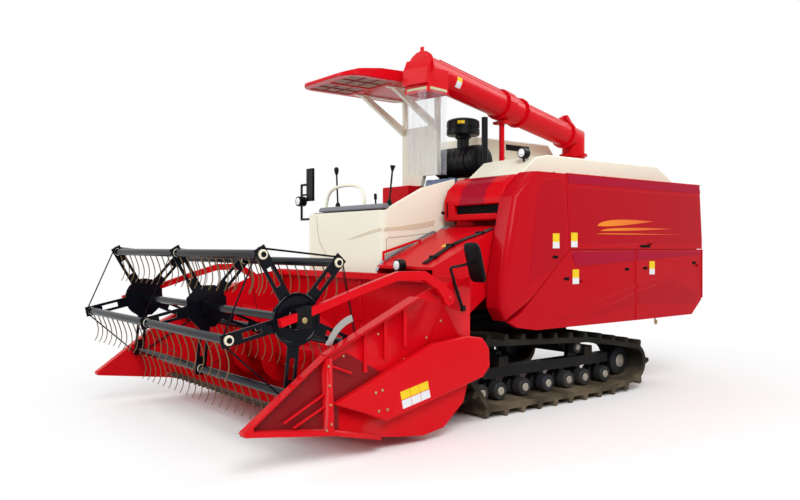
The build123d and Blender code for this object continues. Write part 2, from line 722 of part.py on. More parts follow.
with BuildPart() as platform:
    floor_x0 = HOUSING_FRONT + SEAT_GAP
    block(floor_x0, 1055, -1020, 0, FLOOR_Z - FLOOR_THICK, FLOOR_Z)
    block(floor_x0, 600, SEAT_Y0, SEAT_Y1, FLOOR_Z, SEAT_BASE_TOP)
    block(floor_x0, 250, -1020, -100, BODY_Z0, FLOOR_Z - FLOOR_THICK)
    block(250, 1000, -RAIL_Y - RAIL_W, -RAIL_Y, RAIL_Z1 + SEAT_GAP, 730)
    block(930, 1000, -RAIL_Y - RAIL_W, -RAIL_Y, 730, FLOOR_Z - FLOOR_THICK)
    for x in (STEP_X0, STEP_X1):
        block(x - 6, x + 6, STEP_Y0, STEP_Y0 + 60, STEP_Z[0], FLOOR_Z - FLOOR_THICK)
        block(x - 6, x + 6, STEP_Y0, -1000, FLOOR_Z - FLOOR_THICK, FLOOR_Z - 10)
    for z in STEP_Z:
        block(STEP_X0, STEP_X1, STEP_Y0, STEP_Y0 + 110, z, z + 25)
save(platform, "operator_platform")

with BuildPart() as fairing:
    side_prism(
        [
            (340, FLOOR_Z - 40),
            (FAIRING_FRONT - 35, FLOOR_Z - 40),
            (FAIRING_FRONT - 35, FAIRING_TOP),
            (955, 1574),
            (681, 1710),
            (340, 1796),
        ],
        SEAT_GAP,
        FAIRING_LEFT,
    )
    block(FAIRING_FRONT - 35, FAIRING_FRONT, FAIRING_RIGHT, FAIRING_LEFT, 760, FAIRING_TOP)
    uprights = fairing.edges().filter_by(Axis.Z)
    corner = [e for e in uprights if (e @ 0.5).X > FAIRING_FRONT - 1 and (e @ 0.5).Y > FAIRING_LEFT - 1]
    fillet(corner, FAIRING_NOSE)
save(fairing, "cab_fairing")

with BuildPart() as console:
    block(830, FAIRING_FRONT - 35 - SEAT_GAP, -1020, 0, 1440, CONSOLE_TOP)
    block(1000, FAIRING_FRONT - 35 - SEAT_GAP, -1020, -980, FLOOR_Z, 1440)
save(console, "console")

with BuildPart() as seat_cushion:
    block(225, 650, SEAT_Y0, SEAT_Y1, SEAT_BASE_TOP + SEAT_GAP, 1410)
save(seat_cushion, "seat_cushion")

with BuildPart() as seat_back:
    back = [(60, BAY_TOP + SEAT_GAP), (215, BAY_TOP + SEAT_GAP), (160, SEAT_BACK_TOP), (70, SEAT_BACK_TOP)]
    side_prism(back, SEAT_Y0, SEAT_Y1)
save(seat_back, "seat_back")

with BuildPart() as canopy:
    roof = [
        (CANOPY_X0, CANOPY_Y0),
        (CANOPY_X1, CANOPY_Y0),
        (CANOPY_X1, CANOPY_Y1),
        (CANOPY_X0, CANOPY_Y1),
    ]
    plan_prism(roof, CANOPY_Z0, CANOPY_Z1, radius=CANOPY_CORNER)
    above = [
        (CANOPY_X0 - 10, CANOPY_Z1 - 55),
        (CANOPY_X0 + 170, CANOPY_Z1 - 12),
        (CANOPY_X0 + 480, CANOPY_Z1),
        (CANOPY_X1 - 330, CANOPY_Z1 - 12),
        (CANOPY_X1 - 110, CANOPY_Z1 - 42),
        (CANOPY_X1 + 10, CANOPY_Z1 - 75),
        (CANOPY_X1 + 10, CANOPY_Z1 + 50),
        (CANOPY_X0 - 10, CANOPY_Z1 + 50),
    ]
    side_prism(above, CANOPY_Y0 - 10, CANOPY_Y1 + 10, Mode.SUBTRACT)
    for y0, y1 in ((CANOPY_Y0 + 60, PILLAR_MID - 20), (PILLAR_MID + 20, CANOPY_Y1 - 60)):
        block(STRUT_X + 90, CANOPY_X1 - 90, y0, y1, CANOPY_Z0 - 10, CANOPY_Z0 + 14, Mode.SUBTRACT)
save(canopy, "canopy")

with BuildPart() as posts:
    pillar = [
        (PILLAR_RIGHT, SIDE_BOX_TOP + SEAT_GAP),
        (SEAT_Y0 - 40, SIDE_BOX_TOP + SEAT_GAP),
        (SEAT_Y0 - 10, SEAT_BACK_TOP + 20),
        (PILLAR_LEFT, SEAT_BACK_TOP + 20),
        (PILLAR_LEFT, PILLAR_TOP),
        (PILLAR_RIGHT, PILLAR_TOP),
    ]
    front_prism(pillar, PILLAR_X - POST_R, PILLAR_X + POST_R)
    rail = CANOPY_Z0 - SEAT_GAP  # the struts' top, under the canopy
    strut = [
        (PILLAR_X - POST_R, PILLAR_TOP),
        (PILLAR_X + POST_R, PILLAR_TOP - 60),
        (STRUT_X, rail - 12),
        (STRUT_X + 60, rail - 12),
        (STRUT_X + 60, rail),
        (PILLAR_X - POST_R, rail),
    ]
    opening = [(PILLAR_X + POST_R, PILLAR_TOP + 15), (STRUT_X - 75, rail - 12), (PILLAR_X + POST_R, rail - 12)]
    for y in (PILLAR_RIGHT + POST_R, PILLAR_LEFT - POST_R):
        side_prism(strut, y - POST_R, y + POST_R)
        side_prism(opening, y - POST_R, y + POST_R, Mode.SUBTRACT)
save(posts, "canopy_posts")

with BuildPart() as air_filter:
    cross_rod(FILTER_X, FILTER_Z, -580, -40, FILTER_R, sides=16)
    block(-110, -10, -560, -500, BAY_TOP + SEAT_GAP, FILTER_Z - 100)
    block(-110, -10, -95, -60, 1760 + SEAT_GAP, FILTER_Z - 100)
    rod((FILTER_X, CLEANER_Y, FILTER_Z + 100), (FILTER_X, CLEANER_Y, CLEANER_Z0), 55, sides=12)
    rod((FILTER_X, CLEANER_Y, CLEANER_Z0), (FILTER_X, CLEANER_Y, CLEANER_TOP), CLEANER_R, sides=20)
save(air_filter, "air_filter")

with BuildPart() as exhaust:
    rod((EXHAUST_X, EXHAUST_Y, 1760 + SEAT_GAP), (EXHAUST_X, EXHAUST_Y, EXHAUST_TOP), 28, sides=12)
save(exhaust, "exhaust_pipe")

def under_band(x):
    """Height just below the boom's wear band, at a place along the machine."""
    return BOOM_START.Z + ((x - BOOM_START.X) * BOOM_WAY.Z - FLANGE_R) / BOOM_WAY.X - SEAT_GAP


with BuildPart() as rest_post:
    rest_x0, rest_x1 = REST_X - REST_HALF, REST_X + REST_HALF
    pad = [
        (rest_x0, under_band(rest_x0) - 16),
        (rest_x1, under_band(rest_x0) - 16),
        (rest_x1, under_band(rest_x1)),
        (rest_x0, under_band(rest_x0)),
    ]
    side_prism(pad, REST_Y - 75, REST_Y + 75)
    rod((REST_X, REST_Y, COVER_TOP + SEAT_GAP), (REST_X, REST_Y, under_band(rest_x0) - 16), 25, sides=8)
    block(rest_x0, rest_x1, REST_Y - 60, REST_Y + 60, COVER_TOP + SEAT_GAP, COVER_TOP + 12)
save(rest_post, "boom_rest")

with BuildPart() as column:
    top = COLUMN_TOP
    rod((COLUMN_X, COLUMN_Y, BODY_TOP), (COLUMN_X, COLUMN_Y, top), COLUMN_R, sides=TUBE_SIDES)
    rod((COLUMN_X, COLUMN_Y, top - FLANGE_THICK), (COLUMN_X, COLUMN_Y, top), FLANGE_R, sides=TUBE_SIDES)
save(column, "unloader_column")

boom_foot = BOOM_START + BOOM_WAY * (ELBOW_REACH + SEAT_GAP)
hood_start = BOOM_TIP - BOOM_WAY * HOOD_LENGTH
hinge_point = boom_foot + BOOM_UP * HINGE_RISE


def boom_plane(point, side=0.0):
    """The upright plane along the boom through a point, shifted to the boom's left."""
    return Plane(origin=point + BOOM_SIDE * side, x_dir=BOOM_WAY, z_dir=-BOOM_SIDE)


def hinge_bore():
    """The hole for the boom's hinge pin, through whatever stands round it."""
    radius = (HINGE_PIN_R + PIN_FIT) / cos(pi / 12)
    rod(hinge_point - BOOM_SIDE * 60, hinge_point + BOOM_SIDE * 60, radius, Mode.SUBTRACT, sides=12)


with BuildPart() as elbow:
    foot = COLUMN_TOP + SEAT_GAP
    rod((COLUMN_X, COLUMN_Y, foot), (COLUMN_X, COLUMN_Y, foot + FLANGE_THICK), FLANGE_R, sides=TUBE_SIDES)
    with BuildLine() as bend:
        Polyline((COLUMN_X, COLUMN_Y, foot), BOOM_START, BOOM_START + BOOM_WAY * ELBOW_REACH)
    with BuildSketch(Plane.XY.offset(foot)) as pipe:
        with Locations((COLUMN_X, COLUMN_Y)):
            RegularPolygon(COLUMN_R, TUBE_SIDES)
    sweep(pipe.sketch, path=bend.line, transition=Transition.RIGHT)
    ring = BOOM_START + BOOM_WAY * (ELBOW_REACH - FLANGE_THICK)
    rod(ring, BOOM_START + BOOM_WAY * ELBOW_REACH, FLANGE_R, sides=TUBE_SIDES, across=BOOM_SIDE)
    ear = [(-120, -75), (-7, -75), (-7, -28), (12, -23), (HINGE_R, 0), (12, 23), (-12, 23), (-120, -40)]
    for inner in (LUG_HALF + HINGE_GAP + FLANGE_THICK, -LUG_HALF - HINGE_GAP):
        prism(boom_plane(hinge_point, inner), ear, FLANGE_THICK)
    hinge_bore()
save(elbow, "unloader_elbow")

with BuildPart() as boom:
    rod(boom_foot, hood_start, BOOM_R, sides=TUBE_SIDES, across=BOOM_SIDE)
    tube_length = (hood_start - boom_foot).length
    middle = MID_RING * (BOOM_TIP - boom_foot).length
    for place in (0.0, middle):
        ring = boom_foot + BOOM_WAY * place
        rod(ring, ring + BOOM_WAY * FLANGE_THICK, FLANGE_R, sides=TUBE_SIDES, across=BOOM_SIDE)
    band = (REST_X - boom_foot.X) / BOOM_WAY.X
    ring = boom_foot + BOOM_WAY * (band - 60)
    rod(ring, ring + BOOM_WAY * 120, FLANGE_R, sides=TUBE_SIDES, across=BOOM_SIDE)
    lug = [(120, -75), (7, -75), (7, -28), (-12, -23), (-HINGE_R, 0), (-12, 23), (12, 23), (120, -40)]
    prism(boom_plane(hinge_point, LUG_HALF), lug, 2 * LUG_HALF)
    reach = LUG_HALF + HINGE_GAP + FLANGE_THICK
    rod(hinge_point - BOOM_SIDE * reach, hinge_point + BOOM_SIDE * reach, HINGE_PIN_R)
    rib = [(middle, BOOM_R - 8), (middle, FLANGE_R), (tube_length, FLANGE_R), (tube_length, BOOM_R - 8)]
    prism(boom_plane(boom_foot, 5.0), rib, 10.0)
save(boom, "unloader_boom")

level_way = (BOOM_WAY - Vector(0, 0, BOOM_WAY.Z)).normalized()
outlet = BOOM_TIP - BOOM_WAY * OUTLET_BACK
outlet_plane = Plane(origin=outlet, x_dir=level_way, z_dir=(0, 0, -1))
with BuildPart() as hood:
    rod(hood_start + BOOM_WAY * SEAT_GAP, BOOM_TIP, BOOM_R, sides=TUBE_SIDES, across=BOOM_SIDE)
    rod(BOOM_TIP - BOOM_WAY * FLANGE_THICK, BOOM_TIP, FLANGE_R, sides=TUBE_SIDES, across=BOOM_SIDE)
    snout = [(-FLANGE_THICK, 60), (30, 60), (55, -20), (55, -150), (-FLANGE_THICK, -150)]
    prism(boom_plane(BOOM_TIP, OUTLET_HALF), snout, 2 * OUTLET_HALF)
    with BuildSketch(outlet_plane) as chute:
        Rectangle(2 * OUTLET_HALF, 2 * OUTLET_HALF)
    extrude(chute.sketch, amount=OUTLET_DROP)
    with BuildSketch(outlet_plane) as bore:
        Rectangle(2 * OUTLET_HALF - 2 * SHEET, 2 * OUTLET_HALF - 2 * SHEET)
    extrude(bore.sketch, amount=OUTLET_DROP, mode=Mode.SUBTRACT)
    fin_top = FIN_TOP - BOOM_TIP.Z
    fin = [(-FLANGE_THICK, BOOM_R - 10), (0, BOOM_R - 10), (0, fin_top), (-FLANGE_THICK, fin_top)]
    prism(boom_plane(BOOM_TIP, FIN_HALF), fin, 2 * FIN_HALF)
save(hood, "outlet_hood")

with BuildPart() as curtain:
    mouth = outlet_plane.offset(OUTLET_DROP - 40)
    half = OUTLET_HALF + SEAT_GAP + CURTAIN_WALL
    with BuildSketch(mouth) as sleeve:
        Rectangle(2 * half, 2 * half)
        Rectangle(2 * half - 2 * CURTAIN_WALL, 2 * half - 2 * CURTAIN_WALL, mode=Mode.SUBTRACT)
    extrude(sleeve.sketch, amount=CURTAIN_LENGTH)
save(curtain, "outlet_curtain")

# ---------------------------------------------------------------- feeder and header
head_arc = [polar(PIVOT_X, PIVOT_Z, FEEDER_R, a) for a in (63, 95, 130, 165, 200, 240, 280)]
feeder_outline = head_arc + [
    (960, 652),
    (1135, MOUTH_Z0 - 12),
    (FEEDER_FRONT, MOUTH_Z0 - 12),
    (FEEDER_FRONT, 1092),
]
feeder_inside = [
    (590, 1320),
    (FEEDER_FRONT + 1, 1070),
    (FEEDER_FRONT + 1, MOUTH_Z0),
    (1150, MOUTH_Z0),
    (970, 668),
    (590, 935),
]
with BuildPart() as feeder:
    side_prism(feeder_outline, FEEDER_RIGHT, FEEDER_LEFT)
    side_prism(feeder_inside, FEEDER_RIGHT + SHEET, FEEDER_LEFT - SHEET, Mode.SUBTRACT)
    cross_rod(PIVOT_X, PIVOT_Z, EAR_YS[0][0], FEEDER_RIGHT + SHEET, PIVOT_R)
    cross_rod(PIVOT_X, PIVOT_Z, FEEDER_LEFT - SHEET, EAR_YS[1][1], PIVOT_R, sides=12)
    lug = [(EYE_X - 40, 745), (EYE_X - 30, EYE_Z - 24), (EYE_X + 24, EYE_Z - 28), (EYE_X + 75, 676)]
    for y in (CYLINDER_Y - FOOT_GAP - FOOT_PLATE, CYLINDER_Y + FOOT_GAP):
        side_prism(lug, y, y + FOOT_PLATE)
    foot_reach = FOOT_GAP + FOOT_PLATE
    cross_rod(EYE_X, EYE_Z, CYLINDER_Y - foot_reach, CYLINDER_Y + foot_reach, PIN_R, sides=12)
    bent_bar(RAIL_POINTS, 11)
save(feeder, "feeder_house")

with BuildPart() as trough:
    with BuildSketch(Plane.XZ.offset(-HEAD_LEFT)) as trough_section:
        with BuildLine():
            foot = (KNIFE_X - KNIFE_DEPTH, KNIFE_Z - KNIFE_HALF)
            foot_up = (KNIFE_X - KNIFE_DEPTH, KNIFE_Z - KNIFE_HALF + SHEET)
            low = [polar(TROUGH_X, TROUGH_Z, TROUGH_R, a) for a in TROUGH_ANGLES]
            up = [polar(TROUGH_X, TROUGH_Z, TROUGH_R - SHEET, a) for a in TROUGH_ANGLES]
            Line(foot, low[0])
            ThreePointArc(*low)
            Polyline(low[2], (BACK_X - SHEET, BACK_TOP), (BACK_X, BACK_TOP), up[2])
            ThreePointArc(*reversed(up))
            Polyline(up[0], foot_up, foot)
        make_face()
    extrude(trough_section.sketch, amount=HEAD_LEFT - HEAD_RIGHT)
    block(
        BACK_X - 60,
        BACK_X + 30,
        FEEDER_RIGHT + 20,
        FEEDER_LEFT - 20,
        MOUTH_Z0,
        MOUTH_Z1,
        Mode.SUBTRACT,
    )
    block(BACK_X - SHEET, BACK_X + 54, HEAD_RIGHT, HEAD_LEFT, BACK_TOP, BACK_TOP + HEADER_BEAM)
save(trough, "header_trough")


def flight(y0, y1, hand):
    """One screw flight round the auger's tube, between two places across the machine, in flat facets."""
    root = (AUGER_TUBE_R + SEAT_GAP) / cos(pi / FLIGHT_STEPS)
    count = round((y1 - y0) / AUGER_PITCH * FLIGHT_STEPS)
    half = FLIGHT_THICK / 2
    sections = []
    for k in range(count + 1):
        turn = 90 + 360.0 * hand * k / FLIGHT_STEPS
        y = y0 + (y1 - y0) * k / count
        corners = []
        for radius, shift in ((root, -half), (AUGER_R, -half), (AUGER_R, half), (root, half)):
            x, z = polar(AUGER_X, AUGER_Z, radius, turn)
            corners.append(Vector(x, y + shift, z))
        sections.append(corners)
    outlines = [sections[0], sections[-1]]
    for near, far in zip(sections, sections[1:]):
        for i in range(4):
            j = (i + 1) % 4
            outlines += [[near[i], near[j], far[j]], [near[i], far[j], far[i]]]
    add(Solid(Shell([Face(Wire.make_polygon(outline, close=True)) for outline in outlines])))


with BuildPart() as auger:
    tube_r = AUGER_TUBE_R / cos(pi / FLIGHT_STEPS)
    cross_rod(AUGER_X, AUGER_Z, HEAD_RIGHT + 20, HEAD_LEFT - 20, tube_r, sides=FLIGHT_STEPS)
    cross_rod(AUGER_X, AUGER_Z, HEAD_RIGHT - SHEET + 1, HEAD_RIGHT + 20, STUB_R)
    cross_rod(AUGER_X, AUGER_Z, HEAD_LEFT - 20, HEAD_LEFT + SHEET - 1, STUB_R, sides=12)
    flight(HEAD_RIGHT + 40, FEEDER_RIGHT, 1)
    flight(FEEDER_LEFT, HEAD_LEFT - 40, -1)
    fingers = int((FEEDER_LEFT - FEEDER_RIGHT) / FINGER_PITCH)
    for k in range(fingers):
        y = FEEDER_RIGHT + (k + 0.5) * (FEEDER_LEFT - FEEDER_RIGHT) / fingers
        x, z = polar(AUGER_X, AUGER_Z, FINGER_REACH, 35 + 100 * k)
        rod((AUGER_X, y, AUGER_Z), (x, y, z), FINGER_R, sides=6)
save(auger, "header_auger")

guard_outline = [(KNIFE_X - KNIFE_DEPTH, HEAD_LEFT), (KNIFE_X - KNIFE_DEPTH, HEAD_RIGHT)]
guard_count = int((HEAD_LEFT - HEAD_RIGHT) / GUARD_PITCH)
guard_first = HEAD_RIGHT + (HEAD_LEFT - HEAD_RIGHT - (guard_count - 1) * GUARD_PITCH) / 2
guard_outline.append((KNIFE_X, HEAD_RIGHT))
for k in range(guard_count):
    y = guard_first + k * GUARD_PITCH
    guard_outline += [
        (KNIFE_X, y - GUARD_ROOT),
        (KNIFE_X + GUARD_LENGTH, y),
        (KNIFE_X, y + GUARD_ROOT),
    ]
guard_outline.append((KNIFE_X, HEAD_LEFT))
with BuildPart() as knife:
    plan_prism(guard_outline, KNIFE_Z - KNIFE_HALF, KNIFE_Z + KNIFE_HALF)
save(knife, "knife_bar")

side_outline = [
    (KNIFE_X + 25, KNIFE_Z - 20),
    (1915, 92),
    (1754, 70),
    (1545, 45),
    (1373, 72),
    (1200, 215),
    (1140, 400),
    (1140, BACK_TOP + 50),
    (1420, BACK_TOP + 10),
    (1610, 920),
    (2306, 617),
    (2262, 560),
]
divider_frame = [
    (DIVIDER_TIP_X, DIVIDER_TIP_Z - 16),
    (DIVIDER_TIP_X - 16, DIVIDER_TIP_Z),
    (2306, 617),
    (1610, 920),
    (1610, 912),
    (2302, 608),
    (DIVIDER_TIP_X - 60, DIVIDER_TIP_Z + 14),
    (DIVIDER_TIP_X - 60, DIVIDER_TIP_Z - 16),
]
divider_post = [(2250, 180), (2285, 180), (2300, 606), (2262, 606)]
divider_foot = [
    (DIVIDER_TIP_X - 10, DIVIDER_TIP_Z - 30),
    (DIVIDER_TIP_X - 10, DIVIDER_TIP_Z),
    (2240, 190),
    (1915, 118),
    (1915, 84),
    (2240, 160),
]
divider_skin = [(DIVIDER_TIP_X - 60, DIVIDER_TIP_Z), (2300, 612), (2250, 180)]
for name, side, plane_y in (("left", 1, HEAD_LEFT), ("right", -1, HEAD_RIGHT)):
    sheet_ys = sorted((plane_y, plane_y + side * SHEET))
    frame_ys = sorted((plane_y, plane_y + side * DIVIDER_DEPTH))
    arm_face = (ARM_Y_LEFT if side > 0 else ARM_Y_RIGHT) - side * (ARM_THICK / 2 + GAP)
    pin_end = arm_face + side * (ARM_THICK + 2 * GAP)
    with BuildPart() as side_plate:
        side_prism(side_outline, *sheet_ys)
        side_prism(divider_skin, *sheet_ys)
        for outline in (divider_frame, divider_post, divider_foot):
            side_prism(outline, *frame_ys)
        cross_rod(ARM_PIVOT_X, ARM_PIVOT_Z, *sorted((plane_y, pin_end)), PIN_R)
        cross_rod(ARM_PIVOT_X, ARM_PIVOT_Z, *sorted((plane_y, arm_face)), 50, sides=12)
        cross_bore(AUGER_X, AUGER_Z, plane_y - 20, plane_y + 20, STUB_R + PIN_FIT)
    save(side_plate, f"header_side_{name}")

with BuildPart() as chain_cover:
    cover = [
        (2245, 336),
        (1511, 624),
        (1208, 654),
        (1074, 632),
        (1014, 559),
        (1005, 435),
        (1073, 369),
        (1875, 189),
        (2024, 254),
    ]
    side_prism(cover, HEAD_LEFT + SHEET + SEAT_GAP, HEAD_LEFT + 65)
save(chain_cover, "chain_cover")

# reel arms, arched from their hinge on the header's back to the reel's shaft
arm_top = [(1350, 935), (1440, 1010), (1580, 1085), (1790, 1085), (2063, 1005), (2409, 895), (2600, 842)]
arm_low = [(2590, 800), (2405, 850), (2058, 958), (1785, 1032), (1590, 1030), (1475, 965), (1415, 890)]
bearing_block = [(2405, 785), (2495, 785), (2495, 888), (2405, 908)]
for name, side, plane_y in (("left", 1, ARM_Y_LEFT), ("right", -1, ARM_Y_RIGHT)):
    with BuildPart() as arm:
        side_prism(arm_top + arm_low + [(1365, 875)], plane_y - ARM_THICK / 2, plane_y + ARM_THICK / 2)
        cross_rod(ARM_PIVOT_X, ARM_PIVOT_Z, plane_y - ARM_THICK / 2, plane_y + ARM_THICK / 2, 45, sides=12)
        side_prism(bearing_block, *sorted((plane_y, plane_y - side * 50)))
        cross_bore(ARM_PIVOT_X, ARM_PIVOT_Z, plane_y - 30, plane_y + 30, PIN_R + PIN_FIT)
        cross_bore(REEL_X, REEL_Z, plane_y - 70, plane_y + 70, SHAFT_R + PIN_FIT)
    save(arm, f"reel_arm_{name}")

# reel: shaft, three slotted spiders and the tie rods between their tips
spider_places = (REEL_LEFT, (REEL_LEFT + REEL_RIGHT) / 2, REEL_RIGHT)
bat_angles = [BAT_FIRST + k * 360.0 / BAT_COUNT for k in range(BAT_COUNT)]
spider_face = SPIDER_THICK / 2
with BuildPart() as reel:
    cross_rod(REEL_X, REEL_Z, REEL_RIGHT, REEL_LEFT, SHAFT_R, sides=8)
    for y in spider_places:
        with BuildSketch(Plane.XZ.offset(-(y + spider_face))) as spider:
            with Locations(Location((REEL_X, REEL_Z), 22.5)):
                RegularPolygon(HUB_R, 8)
            for angle in bat_angles:
                with Locations(Location((REEL_X, REEL_Z), angle)):
                    with Locations(((REEL_R + SPIDER_EYE) / 2, 0)):
                        Rectangle(REEL_R + SPIDER_EYE, SPIDER_ARM)
            for angle in bat_angles:
                with Locations(Location((REEL_X, REEL_Z), angle)):
                    with Locations((REEL_R * 0.66, 0)):
                        Rectangle(SPIDER_SLOT, 34, mode=Mode.SUBTRACT)
                with Locations(polar(REEL_X, REEL_Z, REEL_R, angle)):
                    RegularPolygon((BAT_TUBE_R + PIN_FIT) / cos(pi / 8), 8, mode=Mode.SUBTRACT)
        extrude(spider.sketch, amount=SPIDER_THICK)
    for y in (spider_places[0], spider_places[-1]):
        for angle in bat_angles:
            start = polar(REEL_X, REEL_Z, REEL_R + SPIDER_EYE, angle)
            end = polar(REEL_X, REEL_Z, REEL_R + SPIDER_EYE, angle + 360.0 / BAT_COUNT)
            rod((start[0], y, start[1]), (end[0], y, end[1]), TIE_R, sides=4)
save(reel, "reel_frame")

with BuildPart() as stubs:
    for face, far in (
        (REEL_LEFT + spider_face + SEAT_GAP, ARM_Y_LEFT + ARM_THICK / 2),
        (REEL_RIGHT - spider_face - SEAT_GAP, ARM_Y_RIGHT - ARM_THICK / 2),
    ):
        plate = face + (STUB_PLATE if far > face else -STUB_PLATE)
        cross_rod(REEL_X, REEL_Z, face, far, SHAFT_R, sides=0 if far > face else 12)
        cross_rod(REEL_X, REEL_Z, face, plate, STUB_PLATE_R, sides=8)
save(stubs, "reel_stubs")

for k, angle in enumerate(bat_angles):
    bx, bz = polar(REEL_X, REEL_Z, REEL_R, angle)
    with BuildPart() as bat:
        with BuildSketch(Plane.XZ.offset(-(REEL_LEFT + JOURNAL))) as tube:
            with Locations(Location((bx, bz), 22.5)):
                RegularPolygon(BAT_TUBE_R, 8)
        extrude(tube.sketch, amount=REEL_LEFT - REEL_RIGHT + JOURNAL + 15)
        cross_rod(bx, bz, REEL_LEFT + JOURNAL, REEL_LEFT + JOURNAL + 10, BAT_TUBE_R)
        places = int((REEL_LEFT - REEL_RIGHT) / TINE_PITCH)
        first = REEL_RIGHT + (REEL_LEFT - REEL_RIGHT - (places - 1) * TINE_PITCH) / 2
        tine_outline = [(bx - TINE_ROOT, bz), (bx + TINE_ROOT, bz), (bx + TINE_LEAN, bz - TINE_DROP)]
        for n in range(places):
            y = first + n * TINE_PITCH
            if min(abs(y - p) for p in spider_places) > SPIDER_THICK:
                side_prism(tine_outline, y - TINE_R, y + TINE_R)
    save(bat, f"reel_bat_{k + 1}")

# lift cylinder between the chassis and the feeder's underside
cylinder_start = Vector(BARREL_X, CYLINDER_Y, BARREL_Z)
cylinder_way = (Vector(EYE_X, CYLINDER_Y, EYE_Z) - cylinder_start).normalized()
with BuildPart() as barrel:
    cross_rod(BARREL_X, BARREL_Z, CYLINDER_Y - EYE_HALF, CYLINDER_Y + EYE_HALF, 32, sides=12)
    rod(cylinder_start, cylinder_start + cylinder_way * 60, 18, sides=8)
    rod(cylinder_start + cylinder_way * 55, cylinder_start + cylinder_way * BARREL_LENGTH, 42, sides=12)
    bore_r = (LIFT_ROD_R + PIN_FIT) / cos(pi / 12)
    bore_end = cylinder_start + cylinder_way * (BARREL_LENGTH + 1)
    rod(cylinder_start + cylinder_way * 65, bore_end, bore_r, Mode.SUBTRACT, sides=12)
    cross_rod(BARREL_X, BARREL_Z, CYLINDER_Y - 50, CYLINDER_Y + 50, PIN_R + PIN_FIT, Mode.SUBTRACT)
save(barrel, "lift_barrel")

with BuildPart() as lift_rod:
    rod(cylinder_start + cylinder_way * 95, Vector(EYE_X, CYLINDER_Y, EYE_Z), LIFT_ROD_R, sides=12)
    cross_rod(EYE_X, EYE_Z, CYLINDER_Y - EYE_HALF, CYLINDER_Y + EYE_HALF, EYE_R, sides=12)
    cross_bore(EYE_X, EYE_Z, CYLINDER_Y - 50, CYLINDER_Y + 50, EYE_BORE_R)
save(lift_rod, "lift_rod")

# ---------------------------------------------------------------- levers, rails, mirrors and lamps
with BuildPart() as levers:
    for x0, y0, z0, x1, y1, z1 in LEVERS:
        rod((x0, y0, z0 + LEVER_R), (x1, y1, z1), LEVER_R, sides=6)
        rod((x0, y0, z0 + SEAT_GAP), (x0, y0, z0 + 70), BOOT_R, sides=8)
        rod((x1, y1, z1 - KNOB_R), (x1, y1, z1 + KNOB_R), KNOB_R, sides=8)
    bent_bar(GRAB_RAIL, GRAB_R)
save(levers, "control_levers")

with BuildPart() as cab_mirror:
    bent_bar(MIRROR_BAR, 11)
    block(1028, 1052, -1150, -1050, 1640, 1930)
    rod((1040, -1200, 1640), (1110, -1200, 1640), 45, sides=10)
    rod((1040, -1250, 1640), (1040, -1190, 1640), 11, sides=6)
    rod((1040, -1250, 1700), (1040, -1145, 1700), 9, sides=6)
save(cab_mirror, "cab_mirror")

with BuildPart() as head_mirror:
    y_bar = HEAD_LEFT + SHEET + SEAT_GAP + 11 * cos(pi / 6)
    bent_bar([(1210, y_bar, 815), (1325, y_bar, 1090), (1240, y_bar, 1215), (1100, y_bar, 1160)], 11)
    with BuildSketch(Plane(origin=(1080, y_bar - 20, 1130), x_dir=(0, 1, 0), z_dir=(0.79, 0, -0.61))) as glass:
        Rectangle(150, 280)
        chamfer(glass.vertices(), 22)
    extrude(glass.sketch, amount=22)
save(head_mirror, "header_mirror")

with BuildPart() as head_lamp:
    lamp_foot = BACK_TOP + HEADER_BEAM + SEAT_GAP
    block(1195, 1215, 395, 425, lamp_foot, 1090)
    rod((1190, 410, 1100), (1250, 410, 1100), 45, sides=12)
save(head_lamp, "header_lamp")

with BuildPart() as work_lamp:
    rod((LAMP_X, LAMP_Y, LAMP_FOOT), (LAMP_X, LAMP_Y, LAMP_Z - 20), 10, sides=6)
    rod((LAMP_X - 30, LAMP_Y, LAMP_Z), (LAMP_X + 30, LAMP_Y, LAMP_Z), 45, sides=12)
save(work_lamp, "work_lamp")
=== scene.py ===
"""Blender scene of a tracked full-feed combine harvester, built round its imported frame, in metres.

+X is forward, +Y the machine's left and +Z up. The sections follow the machine as it is put together:
chassis and tracks, threshing housing, engine and tank, cab, unloading tube, header and reel.
"""

import json
from math import cos, pi, radians, sin

import bmesh
import bpy
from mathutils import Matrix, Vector
import numpy as np


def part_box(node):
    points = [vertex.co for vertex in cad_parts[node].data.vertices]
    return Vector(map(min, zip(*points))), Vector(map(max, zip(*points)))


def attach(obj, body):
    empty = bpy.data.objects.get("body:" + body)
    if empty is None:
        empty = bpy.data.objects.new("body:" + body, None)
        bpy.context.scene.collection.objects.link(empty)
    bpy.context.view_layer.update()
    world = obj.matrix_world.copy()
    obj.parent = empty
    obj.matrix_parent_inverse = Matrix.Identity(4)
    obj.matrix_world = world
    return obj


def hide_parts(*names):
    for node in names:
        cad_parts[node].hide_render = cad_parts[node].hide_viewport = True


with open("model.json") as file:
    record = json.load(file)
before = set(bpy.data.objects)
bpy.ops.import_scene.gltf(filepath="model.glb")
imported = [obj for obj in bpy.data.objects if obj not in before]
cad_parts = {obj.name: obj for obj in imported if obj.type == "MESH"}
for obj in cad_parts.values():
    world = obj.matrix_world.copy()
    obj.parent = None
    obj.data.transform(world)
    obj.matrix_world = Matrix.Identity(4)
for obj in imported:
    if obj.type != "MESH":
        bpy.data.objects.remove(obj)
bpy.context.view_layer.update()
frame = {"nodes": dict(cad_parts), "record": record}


# -------------------------------- chassis and final drives
# Welded box rails and cross beams under the body, and a cast gearbox with one arm to each sprocket.
# All of it is primed black, bolted together and caked with dry soil where the tracks throw it up.
def shader_node(tree, kind, links=(), **values):
    """A node with its settings and its inputs given: numbers are set, sockets are linked."""
    node = tree.nodes.new(kind)
    for label, value in values.items():
        setattr(node, label, value)
    for key, value in dict(links).items():
        if isinstance(value, bpy.types.NodeSocket):
            tree.links.new(value, node.inputs[key])
        else:
            node.inputs[key].default_value = value
    return node


